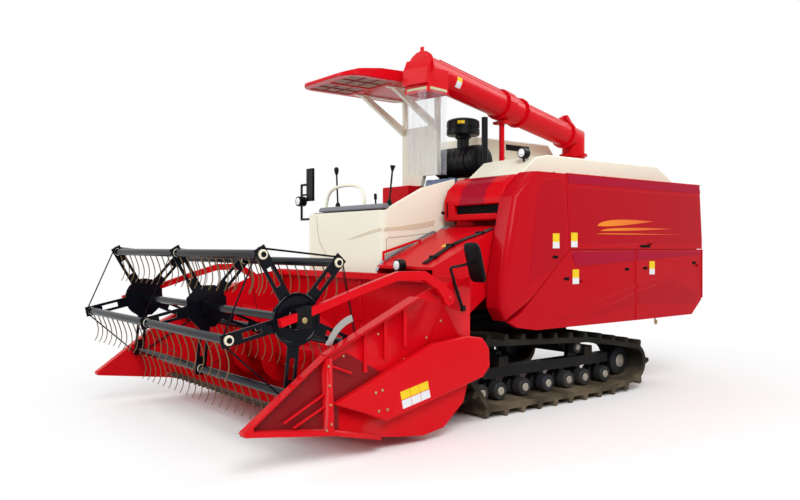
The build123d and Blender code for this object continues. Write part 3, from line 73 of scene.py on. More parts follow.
def math_node(tree, operation, first, second=0.0, clamp=False):
    """One arithmetic step; returns its output socket."""
    return shader_node(tree, "ShaderNodeMath", {0: first, 1: second}, operation=operation,
                       use_clamp=clamp).outputs[0]


def mix_colour(tree, factor, first, second):
    """A colour mix; returns its output socket."""
    node = tree.nodes.new("ShaderNodeMix")
    node.data_type = "RGBA"
    for socket, value in ((node.inputs[0], factor), (node.inputs[6], first), (node.inputs[7], second)):
        if isinstance(value, bpy.types.NodeSocket):
            tree.links.new(value, socket)
        else:
            socket.default_value = value
    return node.outputs[2]


def group_tree(name, given, results):
    """A shader node group with named sockets: (name, socket type, default) in, (name, socket type) out."""
    tree = bpy.data.node_groups.new(name, "ShaderNodeTree")
    for label, kind, value in given:
        tree.interface.new_socket(label, in_out="INPUT", socket_type=kind).default_value = value
    for label, kind in results:
        tree.interface.new_socket(label, in_out="OUTPUT", socket_type=kind)
    return tree, tree.nodes.new("NodeGroupInput").outputs, tree.nodes.new("NodeGroupOutput").inputs


def make_dust_group():
    """Dust over a colour: cloudy patches, more of it near the ground and on faces that look up."""
    number = "NodeSocketFloat"
    tree, given, result = group_tree(
        "field_dust",
        [("Colour", "NodeSocketColor", (0.5, 0.5, 0.5, 1.0)),
         ("Dust Colour", "NodeSocketColor", (0.4, 0.3, 0.2, 1.0)),
         ("Dust", number, 0.2), ("Low Height", number, 0.9), ("Roughness", number, 0.3),
         ("Tone", number, 0.06)],
        [("Colour", "NodeSocketColor"), ("Roughness", number), ("Height", number)],
    )
    place = shader_node(tree, "ShaderNodeTexCoord").outputs["Object"]
    height = shader_node(tree, "ShaderNodeSeparateXYZ", {0: place}).outputs[2]
    facing = shader_node(tree, "ShaderNodeNewGeometry").outputs["Normal"]
    up = shader_node(tree, "ShaderNodeSeparateXYZ", {0: facing}).outputs[2]
    cloud = shader_node(tree, "ShaderNodeTexNoise",
                        {"Vector": place, "Scale": 3.5, "Detail": 5.0, "Roughness": 0.6})
    grain = shader_node(tree, "ShaderNodeTexNoise", {"Vector": place, "Scale": 90.0, "Detail": 3.0})
    low = math_node(tree, "SUBTRACT", given["Low Height"], height)
    low = math_node(tree, "DIVIDE", low, given["Low Height"], clamp=True)
    low = math_node(tree, "POWER", low, 1.6)
    top = math_node(tree, "POWER", math_node(tree, "MAXIMUM", up, 0.0), 3.0)
    amount = math_node(tree, "ADD", low, math_node(tree, "MULTIPLY", top, 0.3))
    amount = math_node(tree, "ADD", amount, 0.1)
    patch = math_node(tree, "MULTIPLY", math_node(tree, "SUBTRACT", cloud.outputs[0], 0.3), 2.2, clamp=True)
    fine = math_node(tree, "ADD", math_node(tree, "MULTIPLY", grain.outputs[0], 0.6), 0.7)
    amount = math_node(tree, "MULTIPLY", math_node(tree, "MULTIPLY", amount, patch), fine)
    amount = math_node(tree, "MULTIPLY", amount, given["Dust"], clamp=True)
    tone = shader_node(tree, "ShaderNodeTexNoise", {"Vector": place, "Scale": 1.1, "Detail": 2.0})
    shade = math_node(tree, "MULTIPLY", math_node(tree, "SUBTRACT", tone.outputs[0], 0.5), given["Tone"])
    toned = shader_node(tree, "ShaderNodeVectorMath", {0: given["Colour"]}, operation="SCALE")
    tree.links.new(math_node(tree, "ADD", shade, 1.0), toned.inputs["Scale"])
    tree.links.new(mix_colour(tree, amount, toned.outputs[0], given["Dust Colour"]), result["Colour"])
    rough = math_node(tree, "ADD", given["Roughness"], math_node(tree, "MULTIPLY", amount, 0.5), clamp=True)
    tree.links.new(rough, result["Roughness"])
    tree.links.new(math_node(tree, "MULTIPLY", grain.outputs[0], amount), result["Height"])
    return tree


field_dust = make_dust_group()
DRY_SOIL = (0.19, 0.145, 0.095, 1.0)


def fresh_material(name, settings):
    """A new material, its node tree, its shader with plain settings, and the piece's own coordinates."""
    material = bpy.data.materials.new(name)
    material.use_nodes = True
    tree = material.node_tree
    shader = tree.nodes["Principled BSDF"]
    for label, value in settings.items():
        shader.inputs[label].default_value = value
    return material, tree, shader, shader_node(tree, "ShaderNodeTexCoord").outputs["Object"]


def relief(tree, shader, height, strength, depth):
    """Bump on the shader's normal, from a height."""
    bump = shader_node(tree, "ShaderNodeBump", {"Strength": strength, "Distance": depth, "Height": height})
    tree.links.new(bump.outputs[0], shader.inputs["Normal"])


def finish(name, colour, roughness, dust=0.15, low=0.9, metallic=0.0, coat=0.0, gloss=0.5, bump=0.05,
           tone=0.08, ripple=0.15, ripple_scale=400.0):
    """A dusty opaque finish: the dust group feeds colour and roughness, and fine noise the bump."""
    material, tree, shader, place = fresh_material(name, {
        "Metallic": metallic, "Coat Weight": coat, "Coat Roughness": 0.06, "Specular IOR Level": gloss})
    dusty = shader_node(tree, "ShaderNodeGroup", {
        "Colour": (*colour, 1.0), "Dust Colour": DRY_SOIL, "Dust": dust, "Low Height": low,
        "Roughness": roughness, "Tone": tone}, node_tree=field_dust).outputs
    tree.links.new(dusty["Colour"], shader.inputs["Base Color"])
    tree.links.new(dusty["Roughness"], shader.inputs["Roughness"])
    peel = shader_node(tree, "ShaderNodeTexNoise", {"Vector": place, "Scale": ripple_scale, "Detail": 2.0})
    height = math_node(tree, "ADD", dusty["Height"], math_node(tree, "MULTIPLY", peel.outputs[0], ripple))
    relief(tree, shader, height, bump, 0.002)
    return material


body_of = {node: body for body, members in frame["record"]["behaviour"]["bodies"].items() for node in members}
SHARP = radians(32.0)  # edges that fold more than this stay crisp or get a bevel


def fasten(name, mesh, material, body, stands_for=(), width=0.0):
    """A finished mesh as a piece: smooth between its sharp edges, its edges rounded, fixed to its body."""
    mesh.materials.append(material)
    mesh.polygons.foreach_set("use_smooth", np.ones(len(mesh.polygons), bool))
    mesh.set_sharp_from_angle(angle=SHARP)
    part = bpy.data.objects.new(name, mesh)
    bpy.context.scene.collection.objects.link(part)
    if width:
        soft = part.modifiers.new("rounded edges", "BEVEL")
        soft.width = width
        soft.segments = 2
        soft.limit_method = "ANGLE"
        soft.angle_limit = SHARP
        soft.harden_normals = True
    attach(part, body)
    if stands_for:
        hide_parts(*stands_for)
    return part


def skin(material, width, *names, slot=None):
    """A copy of each CAD node, its triangles joined into flat faces, with rounded edges, in its place."""
    for name in names:
        shape = bmesh.new()
        shape.from_mesh(frame["nodes"][name].data)
        bmesh.ops.remove_doubles(shape, verts=shape.verts, dist=2e-5)
        if width:
            bmesh.ops.dissolve_limit(shape, angle_limit=radians(0.5), verts=shape.verts, edges=shape.edges)
        mesh = bpy.data.meshes.new(name + "_skin")
        shape.to_mesh(mesh)
        shape.free()
        fasten(name + "_skin", mesh, material, body_of[name], [name], width)


casting = finish("dusty_casting", (0.010, 0.010, 0.010), 0.55, dust=0.45, low=0.8, gloss=0.08, ripple=0.6,
                 bump=0.25)
skin(casting, 0.004, "chassis", "gearbox")


# -------------------------------- tracks
# Each track is a moulded rubber loop with staggered lugs, run round a sprocket, an idler, a carrier roller
# and seven road rollers: pressed drums with pale hub caps, on a welded beam painted black.
def grid(points, wrap=True, ends=True):
    """A surface through rows of points, joined by quads: wrap closes each row, ends cap first and last."""
    rows, columns = points.shape[:2]
    number = np.arange(rows * columns).reshape(rows, columns)
    near = number if wrap else number[:, :-1]
    far = np.roll(number, -1, axis=1) if wrap else number[:, 1:]
    quads = np.stack([near[:-1], far[:-1], far[1:], near[1:]], -1).reshape(-1, 4).tolist()
    if ends:
        quads += [number[0][::-1].tolist(), number[-1].tolist()]
    return points.reshape(-1, 3), quads


def circle(sides):
    """Cosines and sines of equal steps round a circle, each as a column of its own."""
    turn = np.arange(sides) * 2 * pi / sides
    return np.cos(turn)[:, None], np.sin(turn)[:, None]


def turned(profile, foot, way, sides=24):
    """A turned form: foot + s * way + r * (cos t * side + sin t * up) for each (s, r) of the profile."""
    way = np.array(way, float) / np.linalg.norm(way)
    side = np.cross(way, (0.0, 0.0, 1.0) if abs(way[2]) < 0.9 else (0.0, 1.0, 0.0))
    side /= np.linalg.norm(side)
    across, along = circle(sides)
    rim = across * side + along * np.cross(way, side)
    s, r = np.array(profile, float).T[:, :, None, None]
    return grid(np.array(foot, float) + s * way + r * rim)


def slab(outline, axis, low, high):
    """A flat plate: one outline at two places along an axis."""
    ring = np.insert(np.array(outline, float), axis, low, axis=1)
    return grid(np.stack([ring, np.where(np.arange(3) == axis, high, ring)]))


def block(low, high):
    """A box between two corners."""
    (x0, y0, z0), (x1, y1, z1) = low, high
    return slab([(x0, y0), (x1, y0), (x1, y1), (x0, y1)], 2, z0, z1)


def softened(points, rounds=3):
    """A line with its corners cut: each round puts points at a quarter and three quarters of every run."""
    path = np.array(points, float)
    for _ in range(rounds):
        cut = np.stack([0.75 * path[:-1] + 0.25 * path[1:], 0.25 * path[:-1] + 0.75 * path[1:]], 1)
        path = np.concatenate([path[:1], cut.reshape(-1, path.shape[1]), path[-1:]])
    return path


def bar(path, radius, sides=10, across=(0.0, 1.0, 0.0)):
    """A round bar along a path: at each point a circle square to the way between its neighbours."""
    path = np.array(path, float)
    way = np.gradient(path, axis=0)
    side = np.cross(way, across)
    side /= np.linalg.norm(side, axis=1, keepdims=True)
    up = np.cross(way, side)
    up /= np.linalg.norm(up, axis=1, keepdims=True)
    over, along = circle(sides)
    return grid(path[:, None] + np.reshape(radius, (-1, 1, 1)) * (over * side[:, None] + along * up[:, None]))


def piece(name, forms, material, body, stands_for=(), width=0.0):
    """Several closed forms as one piece, with all faces turned outwards."""
    starts = np.cumsum([0] + [len(points) for points, _ in forms])
    faces = [[corner + start for corner in face] for (_, quads), start in zip(forms, starts)
             for face in quads]
    mesh = bpy.data.meshes.new(name)
    mesh.from_pydata(np.concatenate([points for points, _ in forms]), [], faces)
    shape = bmesh.new()
    shape.from_mesh(mesh)
    bmesh.ops.recalc_face_normals(shape, faces=shape.faces)
    shape.to_mesh(mesh)
    shape.free()
    return fasten(name, mesh, material, body, stands_for, width)


track_rubber = finish("track_rubber", (0.006, 0.007, 0.006), 0.55, dust=1.2, low=0.33, gloss=0.06, ripple=0.8,
                      bump=0.3)
beam_paint = finish("beam_black", (0.004, 0.005, 0.007), 0.35, dust=0.2, low=0.5, gloss=0.09)
drum_paint = finish("drum_grey", (0.014, 0.017, 0.022), 0.40, dust=0.4, low=0.3, gloss=0.14, ripple=0.8,
                    bump=0.3)
cap_steel = finish("hub_cap", (0.40, 0.36, 0.30), 0.45, dust=0.5, low=0.4, metallic=0.35, gloss=0.3, tone=0.5)
skin(track_rubber, 0.004, "track_left", "track_right")
skin(beam_paint, 0.004, "track_frame_left", "track_frame_right")

TRACK_Y = 0.631
HALF_GAP = 0.022  # half the gap between a roller's two drums, where the track's guide runs
# each turning piece: place along and above, radius, and the width of one drum
ROLLERS = [(x, 0.1533, 0.070, 0.080) for x in (-0.754, -0.487, -0.281, -0.028, 0.239, 0.507, 0.699)]
TURNING = ROLLERS + [(-1.0, 0.240, 0.121, 0.050), (-0.415, 0.405, 0.056, 0.060)]
SPROCKET = (0.820, 0.395)
TEETH = 10
tooth = (np.arange(3 * TEETH) // 3 + np.tile([-0.5, -0.2, 0.2], TEETH)) * 2 * pi / TEETH
tooth_r = np.tile([0.104, 0.128, 0.128], TEETH)
teeth = np.stack([SPROCKET[0] + tooth_r * np.cos(tooth), SPROCKET[1] + tooth_r * np.sin(tooth)], 1)
for name, side in (("left", 1), ("right", -1)):
    drums, caps, out = [], [], (0, side, 0)
    for x, z, r, wide in TURNING:
        drum = [(0, 0.55 * r), (0, 0.88 * r), (0.006, r), (wide - 0.014, r), (wide - 0.006, 0.95 * r),
                (wide, 0.84 * r), (wide, 0.5 * r), (wide - 0.004, 0.46 * r)]
        for way in (1, -1):
            drums.append(turned(drum, (x, side * TRACK_Y + way * HALF_GAP, z), (0, way, 0)))
        face = side * (TRACK_Y + HALF_GAP + wide - 0.004)
        cap = [(0, 0.46 * r), (0.005, 0.46 * r), (0.009, 0.40 * r), (0.009, 0.15 * r), (0.006, 0.12 * r)]
        caps.append(turned(cap, (x, face, z), out, 20))
        drums.append(turned([(0, 0.019), (0.08, 0.019)], (x, side * TRACK_Y - 0.04, z), (0, 1, 0), 12))
    x, z = SPROCKET
    drums.append(slab(teeth, 1, side * TRACK_Y - 0.030, side * TRACK_Y + 0.030))
    drums.append(turned([(0, 0.048), (0.133, 0.048)], (x, side * 0.546, z), out, 20))
    caps.append(turned([(0, 0.042), (0.006, 0.042), (0.006, 0.02)], (x, side * 0.679, z), out, 20))
    piece(f"roller_drums_{name}", drums, drum_paint, "root", [f"track_wheels_{name}"])
    piece(f"hub_caps_{name}", caps, cap_steel, "root")

# -------------------------------- threshing housing and side doors
# The housing is welded sheet; bolted covers and hinged doors of pressed sheet hide the belt drives on the
# left. Everything is gloss red enamel; the doors carry pressed folds, finger slots and blank plates.
def enamel(name, colour, dust=0.08, gloss=0.07):
    """The machine's gloss paint in one shade."""
    return finish(name, colour, 0.24, dust=dust, low=0.7, coat=0.03, gloss=gloss)


red_enamel = enamel("red_enamel", (0.60, 0.002, 0.008))
# the side doors and the front corner panel take a darker copy of the same red enamel: painted shade
shaded_door_red = enamel("red_enamel_doors_painted_shade", (0.46, 0.002, 0.009), 0.07, 0.06)
# darker red for the pressed fields and the corner panel's recess: painted shade in the hollows of the
# pressings
recess_shade_red = enamel("red_enamel_recess_painted_shade", (0.41, 0.002, 0.010), 0.06, 0.06)
# the darkest red, for the eave and the folds along the doors: painted shade under the folds' edges
eave_shade_red = enamel("red_enamel_eave_painted_shade", (0.36, 0.003, 0.026), 0.05, 0.06)
pulley_paint = finish("pulley_casting", (0.02, 0.02, 0.02), 0.5, dust=0.4, low=2.0, gloss=0.2)
skin(red_enamel, 0.004, "thresher_housing")
skin(pulley_paint, 0.004, "side_pulleys")
skin(shaded_door_red, 0.010, "front_corner_panel", "upper_side_door", "lower_front_door", "lower_rear_door")
skin(red_enamel, 0.012, "straw_hood")
HOOD_BAND_Y, HOOD_BAND_HALF, HOOD_BAND_FOOT = 0.410, 0.138, 1.562  # the darker band over the hood's crown
hood_red = enamel("hood_enamel", (0.60, 0.002, 0.008))
hood_tree = hood_red.node_tree
hood_place = shader_node(hood_tree, "ShaderNodeTexCoord").outputs["Object"]
hood_y, hood_z = shader_node(hood_tree, "ShaderNodeSeparateXYZ", {0: hood_place}).outputs[1:3]
hood_off = math_node(hood_tree, "ABSOLUTE", math_node(hood_tree, "SUBTRACT", hood_y, HOOD_BAND_Y))
hood_band = math_node(hood_tree, "MULTIPLY", math_node(hood_tree, "LESS_THAN", hood_off, HOOD_BAND_HALF),
                      math_node(hood_tree, "GREATER_THAN", hood_z, HOOD_BAND_FOOT))
hood_colour = hood_tree.nodes["Principled BSDF"].inputs["Base Color"]
hood_plain = hood_colour.links[0].from_socket
hood_tree.links.new(mix_colour(hood_tree, hood_band, hood_plain, (0.33, 0.004, 0.020, 1.0)), hood_colour)
skin(hood_red, 0.012, "front_hood")
DOOR_FACE = 0.900


recess = softened([(0.385, 0.960), (0.345, 1.300), (0.290, 1.640), (0.240, 1.735), (0.140, 1.752),
                   (-0.020, 1.752), (-0.045, 1.218), (0.050, 1.100)], 2)
# folds pressed into the panels: plates that stand a little proud of them, with bevelled edges; the fields'
# and folds' darker reds are painted shade
for name, body, material, proud, outline in (
    ("upper_door_eave", "upper_side_door", eave_shade_red, 0.0035,
     [(-0.056, 1.796), (-1.936, 1.796), (-1.955, 1.727), (-0.064, 1.729)]),
    ("upper_door_field", "upper_side_door", recess_shade_red, 0.002,
     [(-0.075, 1.700), (-1.950, 1.700), (-1.965, 1.300), (-1.965, 1.262), (-0.092, 1.262)]),
    ("front_door_fold", "lower_front_door", eave_shade_red, 0.0035,
     [(-0.100, 1.198), (-0.940, 1.198), (-0.940, 1.118), (-0.150, 1.080)]),
    ("front_door_field", "lower_front_door", recess_shade_red, 0.003,
     [(-0.330, 0.690), (-0.940, 0.845), (-0.940, 0.750), (-0.560, 0.690)]),
    ("front_door_wing", "lower_front_door", shaded_door_red, 0.0045,
     [(0.090, 0.668), (-0.269, 0.712), (-0.940, 0.880), (-0.940, 0.912), (-0.428, 0.800)]),
    ("rear_door_fold", "lower_rear_door", eave_shade_red, 0.0035,
     [(-0.968, 1.198), (-1.950, 1.192), (-1.962, 1.166), (-0.968, 1.118)]),
    ("rear_door_wing", "lower_rear_door", shaded_door_red, 0.0045,
     [(-0.972, 0.922), (-1.766, 1.035), (-1.800, 1.022), (-0.972, 0.885)]),
    ("rear_door_field", "lower_rear_door", recess_shade_red, 0.003,
     [(-0.972, 0.850), (-1.500, 0.945), (-1.930, 0.800), (-1.872, 0.715), (-0.972, 0.745)]),
    ("corner_panel_field", "root", recess_shade_red, 0.0025, recess),
):
    plate = slab(outline, 1, DOOR_FACE - 0.002, DOOR_FACE + proud)
    piece(name, [plate], material, body, (), 0.003)

plate_yellow = finish("plate_yellow", (0.80, 0.56, 0.012), 0.35, dust=0.05, gloss=0.2)
plate_white = finish("plate_white", (0.72, 0.74, 0.76), 0.35, dust=0.05, gloss=0.2)
slot_black = finish("slot_black", (0.003, 0.003, 0.003), 0.7, dust=0.05, gloss=0.05)


# plain foil plates in two halves, yellow above and white below
PLATE_WIDE, PLATE_TALL, PLATE_Y = 0.076, 0.114, DOOR_FACE + 0.0035
for name, x, z, body in (
    ("corner_panel", 0.085, 1.279, "root"), ("upper_door", -0.132, 1.287, "upper_side_door"),
    ("front_door", -0.150, 0.999, "lower_front_door"), ("rear_door", -1.182, 1.051, "lower_rear_door"),
):
    middle = z - 0.08 * PLATE_TALL
    for half, low, high, material in (("upper", middle, z + PLATE_TALL / 2, plate_yellow),
                                      ("lower", z - PLATE_TALL / 2, middle, plate_white)):
        foil = block((x - PLATE_WIDE / 2, PLATE_Y - 0.0025, low),
                     (x + PLATE_WIDE / 2, PLATE_Y + 0.0008, high))
        piece(f"plate_{name}_{half}", [foil], material, body)
bolt_steel = finish("zinc_bolts", (0.36, 0.27, 0.12), 0.35, dust=0.1, metallic=0.6, gloss=0.3)
grips = [("upper_side_door", -1.080, 1.238, 0.075), ("root", 0.095, 1.155, 0.030),
         ("lower_front_door", -0.040, 0.985, 0.030), ("lower_front_door", -0.820, 1.045, 0.028),
         ("lower_rear_door", -1.085, 1.050, 0.028), ("lower_rear_door", -1.850, 1.085, 0.028)]
for number, (body, x, z, half) in enumerate(grips):
    lip = softened([(x - half, z - 0.011), (x + half, z - 0.011), (x + half, z + 0.011),
                    (x - half, z + 0.011)], 1)
    piece(f"finger_slot_{number}", [slab(lip, 1, DOOR_FACE - 0.010, DOOR_FACE + 0.0045)], slot_black, body)

latch = softened([(-1.262, 0.880, 0.655), (-1.262, 0.880, 0.590), (-1.262, 0.880, 0.560),
                  (-1.285, 0.880, 0.556), (-1.287, 0.880, 0.590)], 2)
piece("rear_door_hook", [bar(latch, 0.007, 8)], bolt_steel, "lower_rear_door")
lining = block((0.302, 0.207, 1.4908), (0.470, 0.7345, 1.5592))
piece("intake_slot", [lining], slot_black, "root")
guide = block((0.5045, 0.126, 1.470), (0.5070, 0.136, 1.585))
knob = [(0, 0.004), (0.020, 0.004), (0.022, 0.013), (0.036, 0.013), (0.040, 0.008)]
piece("hood_lever", [guide, turned(knob, (0.504, 0.105, 1.507), (1, 0, 0), 14)], slot_black, "root")

# -------------------------------- stripes on the upper door
# Three plain swept stripes of cast film, orange fading to yellow along their length, laid on the door; each
# keeps to a square-root curve and swells in its middle.
stripe_film, film_tree, film_shader, film_place = fresh_material(
    "stripe_film", {"Roughness": 0.3, "Specular IOR Level": 0.2})
film_x = shader_node(film_tree, "ShaderNodeSeparateXYZ", {0: film_place}).outputs[0]
film_fade = math_node(film_tree, "DIVIDE", math_node(film_tree, "ADD", film_x, 1.75), 1.35, clamp=True)
film_grain = shader_node(film_tree, "ShaderNodeTexNoise", {"Vector": film_place, "Scale": 300.0})
film_fade = math_node(film_tree, "ADD", film_fade,
                      math_node(film_tree, "MULTIPLY", film_grain.outputs[0], 0.06), clamp=True)
film_colour = mix_colour(film_tree, film_fade, (0.64, 0.020, 0.010, 1.0), (0.80, 0.24, 0.012, 1.0))
film_tree.links.new(film_colour, film_shader.inputs["Base Color"])
s = np.linspace(0.0, 1.0, 25)[:, None]
sweeps = []
for x0, x1, z0, z1, tall in ((-0.42, -1.20, 1.402, 1.452, 0.050), (-0.46, -1.52, 1.362, 1.392, 0.024),
                             (-0.40, -1.72, 1.338, 1.342, 0.008)):
    line = z0 + (z1 - z0) * np.sqrt(s)
    swell = tall * np.sin(pi * s ** 0.6) / 2
    rims = [np.hstack([x0 + (x1 - x0) * s, line + way * swell]) for way in (1, -1)]
    sweeps.append(slab(np.concatenate([rims[0], rims[1][-2:0:-1]]), 1, DOOR_FACE + 0.0005,
                       DOOR_FACE + 0.0030))
piece("door_stripes", sweeps, stripe_film, "upper_side_door")

# -------------------------------- engine bay
# A box of folded sheet over the engine, with a hinged screen on its right made of punched steel, so that
# the radiator breathes through it; the engine is bare casting with an oily skin.
engine_paint = finish("engine_casting", (0.05, 0.055, 0.055), 0.5, dust=0.5, low=1.6, metallic=0.2)
skin(red_enamel, 0.010, "engine_bay", "engine_screen_door")
skin(engine_paint, 0.010, "engine")
HOLE_PITCH = 0.012
punched, punch_tree, punch_shader, punch_place = fresh_material(
    "punched_screen", {"Roughness": 0.45, "Metallic": 0.4})
punch_axes = shader_node(punch_tree, "ShaderNodeSeparateXYZ", {0: punch_place}).outputs
waves = [math_node(punch_tree, "SINE", math_node(punch_tree, "MULTIPLY", axis, 2 * pi / HOLE_PITCH))
         for axis in (punch_axes[0], punch_axes[2])]
holes = math_node(punch_tree, "GREATER_THAN", math_node(punch_tree, "MULTIPLY", *waves), 0.12)
punch_colour = mix_colour(punch_tree, holes, (0.05, 0.05, 0.05, 1.0), (0.004, 0.004, 0.004, 1.0))
punch_tree.links.new(punch_colour, punch_shader.inputs["Base Color"])
relief(punch_tree, punch_shader, math_node(punch_tree, "SUBTRACT", 1.0, holes), 0.6, 0.001)
SCREEN_LEFT, SCREEN_RIGHT, SCREEN_BACK = -0.539, 0.109, -1.0552
mesh_sheet = block((SCREEN_LEFT, -1.0580, 0.751), (SCREEN_RIGHT, SCREEN_BACK, 1.339))
piece("screen_mesh", [mesh_sheet], punched, "engine_screen_door")
ribs = [block((SCREEN_LEFT, -1.0625, z), (SCREEN_RIGHT, SCREEN_BACK, z + 0.012)) for z in (0.90, 1.04, 1.18)]
piece("screen_ribs", ribs, red_enamel, "engine_screen_door", (), 0.002)

# -------------------------------- grain tank, fuel tank and top cover
# The tank and the cover over the housing are folded sheet in cream enamel, seamed along their edges;
# the fuel tank is blow-moulded black plastic strapped into the chassis.
cream_enamel = finish("cream_enamel", (0.85, 0.85, 0.70), 0.28, dust=0.06, low=1.0, coat=0.1, gloss=0.3)
black_plastic = finish("black_plastic", (0.004, 0.004, 0.005), 0.34, dust=0.08, gloss=0.12, ripple=0.4,
                       bump=0.1)
skin(cream_enamel, 0.022, "top_cover", "grain_tank")
skin(black_plastic, 0.030, "fuel_tank")


def bolt_head(radius, x, y, z, sides=10):
    """A bolt's head on a face that looks left: a short drum with its rim cut back by 3 mm."""
    return turned([(0, radius), (0.004, radius), (0.006, radius - 0.003)], (x, y, z), (0, 1, 0), sides)


TANK_SIDE = -0.4905
seams = ((0.679, 1.835), (TANK_SIDE, 2.10))
heads = [bolt_head(0.009, x, y, z, 8) for y, z in seams for x in np.linspace(-1.45, -0.15, 7)]
piece("cover_bolts", heads, bolt_steel, "root")
grille = [block((-1.150, TANK_SIDE, 2.180), (-0.820, TANK_SIDE + 0.0035, 2.236))]
grille += [block((-1.145, TANK_SIDE + 0.0035, z), (-0.825, TANK_SIDE + 0.0065, z + 0.005))
           for z in np.linspace(2.185, 2.226, 5)]
piece("cover_grille", grille, black_plastic, "root")

# -------------------------------- air cleaner and breather pipe
# A black moulded canister lies across behind the seat, with a bowl pre-cleaner on its neck; a steel
# breather pipe stands beside it.
CLEANER_X, CLEANER_Z, CLEANER_R = -0.06, 1.99, 0.139
CLEANER_RIGHT, CLEANER_LEFT = -0.58, -0.04
NECK_Y, BOWL_Z, BOWL_R = -0.29, 2.225, 0.149
profile = [(0, 0.05), (0, 0.115), (0.012, 0.132)]
for y in np.linspace(0.05, CLEANER_LEFT - CLEANER_RIGHT - 0.05, 7):
    profile += [(y - 0.012, CLEANER_R - 0.006), (y - 0.008, CLEANER_R), (y + 0.008, CLEANER_R),
                (y + 0.012, CLEANER_R - 0.006)]
profile += [(0.528, 0.132), (0.540, 0.112), (0.540, 0.060), (0.534, 0.055)]
neck = [(0, 0.054), (0.10, 0.054), (0.108, 0.070), (0.13, 0.070)]
bowl = [(0, 0.090), (0.004, 0.142), (0.012, BOWL_R), (0.058, BOWL_R), (0.062, 0.143), (0.070, 0.143),
        (0.074, BOWL_R), (0.126, 0.147), (0.140, 0.135), (0.150, 0.108), (0.158, 0.070), (0.160, 0.02)]
cleaner = [turned(profile, (CLEANER_X, CLEANER_RIGHT, CLEANER_Z), (0, 1, 0), 40),
           turned(neck, (CLEANER_X, NECK_Y, 2.095), (0, 0, 1), 28),
           turned(bowl, (CLEANER_X, NECK_Y, BOWL_Z), (0, 0, 1), 40),
           block((-0.11, -0.56, 1.4203), (-0.01, -0.50, 1.89)),
           block((-0.11, -0.095, 1.7603), (-0.01, -0.06, 1.89))]
cleaner += [turned([(0, 0.1405), (0.014, 0.1405)], (CLEANER_X, y, CLEANER_Z), (0, 1, 0), 40)
            for y in (-0.46, -0.16)]
piece("air_cleaner", cleaner, black_plastic, "root", ["air_filter"])
turn = np.radians(np.linspace(28.0, 52.0, 7))
foil = [np.stack([CLEANER_X + 0.1497 * np.cos(turn), NECK_Y + 0.1497 * np.sin(turn), np.full(7, z)], 1)
        for z in (2.318, 2.345)]
piece("plate_cleaner", [grid(np.stack(foil), False, False)], plate_yellow, "root")
skin(black_plastic, 0.002, "exhaust_pipe")

# -------------------------------- platform, fairing and console
# The operator's floor is folded plate painted black; a moulded cream fairing wraps its front and left
# side, with a pressed band and a service door, and a grey moulded console closes the top of its front.
grey_plastic = finish("console_plastic", (0.17, 0.175, 0.20), 0.45, dust=0.10, gloss=0.3, ripple=0.5,
                      bump=0.12)
groove_brown = finish("fairing_groove", (0.30, 0.25, 0.18), 0.5, dust=0.1)
band_shade_cream = finish("cream_enamel_band_painted_shade", (0.68, 0.62, 0.46), 0.30, dust=0.06, coat=0.1, gloss=0.3)
skin(beam_paint, 0.004, "operator_platform")
skin(cream_enamel, 0.016, "cab_fairing")
skin(grey_plastic, 0.012, "console")
FAIRING_FRONT = 1.0957
band = [(1.072, 1.382), (0.900, 1.398), (0.720, 1.424), (0.560, 1.452), (0.575, 1.400), (0.760, 1.372),
        (0.920, 1.362), (1.072, 1.356)]
# the pressed band is drawn as thin darker cream plates on the side and the front: painted shade along its
# relief
piece("fairing_band_side", [slab(band, 1, 0.038, 0.0415)], band_shade_cream, "root", (), 0.001)
band = [(-0.470, 1.284), (-0.330, 1.318), (-0.143, 1.356), (0.018, 1.382), (0.018, 1.358), (-0.143, 1.330),
        (-0.330, 1.300)]
piece("fairing_band_front", [slab(band, 0, 1.092, 1.0960)], band_shade_cream, "root", (), 0.001)
ridge = [(1.024, 1.5303), (1.093, 1.5303), (1.0935, 1.546), (1.083, 1.566), (1.048, 1.574), (1.028, 1.566)]
piece("console_ridge", [slab(ridge, 1, -0.880, 0.034)], grey_plastic, "root", (), 0.008)
GROOVE_R = 0.0022
line = [(x, 0.0405, z) for x, z in ((1.058, 1.010), (1.058, 1.290), (1.040, 1.302), (0.866, 1.318),
                                    (0.620, 1.345), (0.600, 1.335), (0.600, 1.010))]
piece("fairing_door_line", [bar(line, GROOVE_R, 6)], groove_brown, "root")
line = softened([(FAIRING_FRONT, y, z) for y, z in ((-0.905, 1.500), (-0.880, 1.300), (-0.800, 1.215),
                                                    (-0.740, 1.130), (-0.730, 0.95))], 2)
groove = bar(line, GROOVE_R, 6, (1.0, 0.0, 0.0))
piece("fairing_front_line", [groove], groove_brown, "root")


# -------------------------------- seat
# Foam pads under grey-blue vinyl, glued to pressed pans and sewn in upright channels; the pans are screwed
# to the engine bay's lid.
def read_points(mesh, field):
    """A field of all the mesh's points, as rows of three."""
    values = np.empty(len(mesh.vertices) * 3)
    mesh.vertices.foreach_get(field, values)
    return values.reshape(-1, 3)


VOXEL, SWELL, SEAM_DEPTH, SEAM_WIDTH = 0.008, 0.011, 0.007, 0.10  # the seam's width as a share of a channel


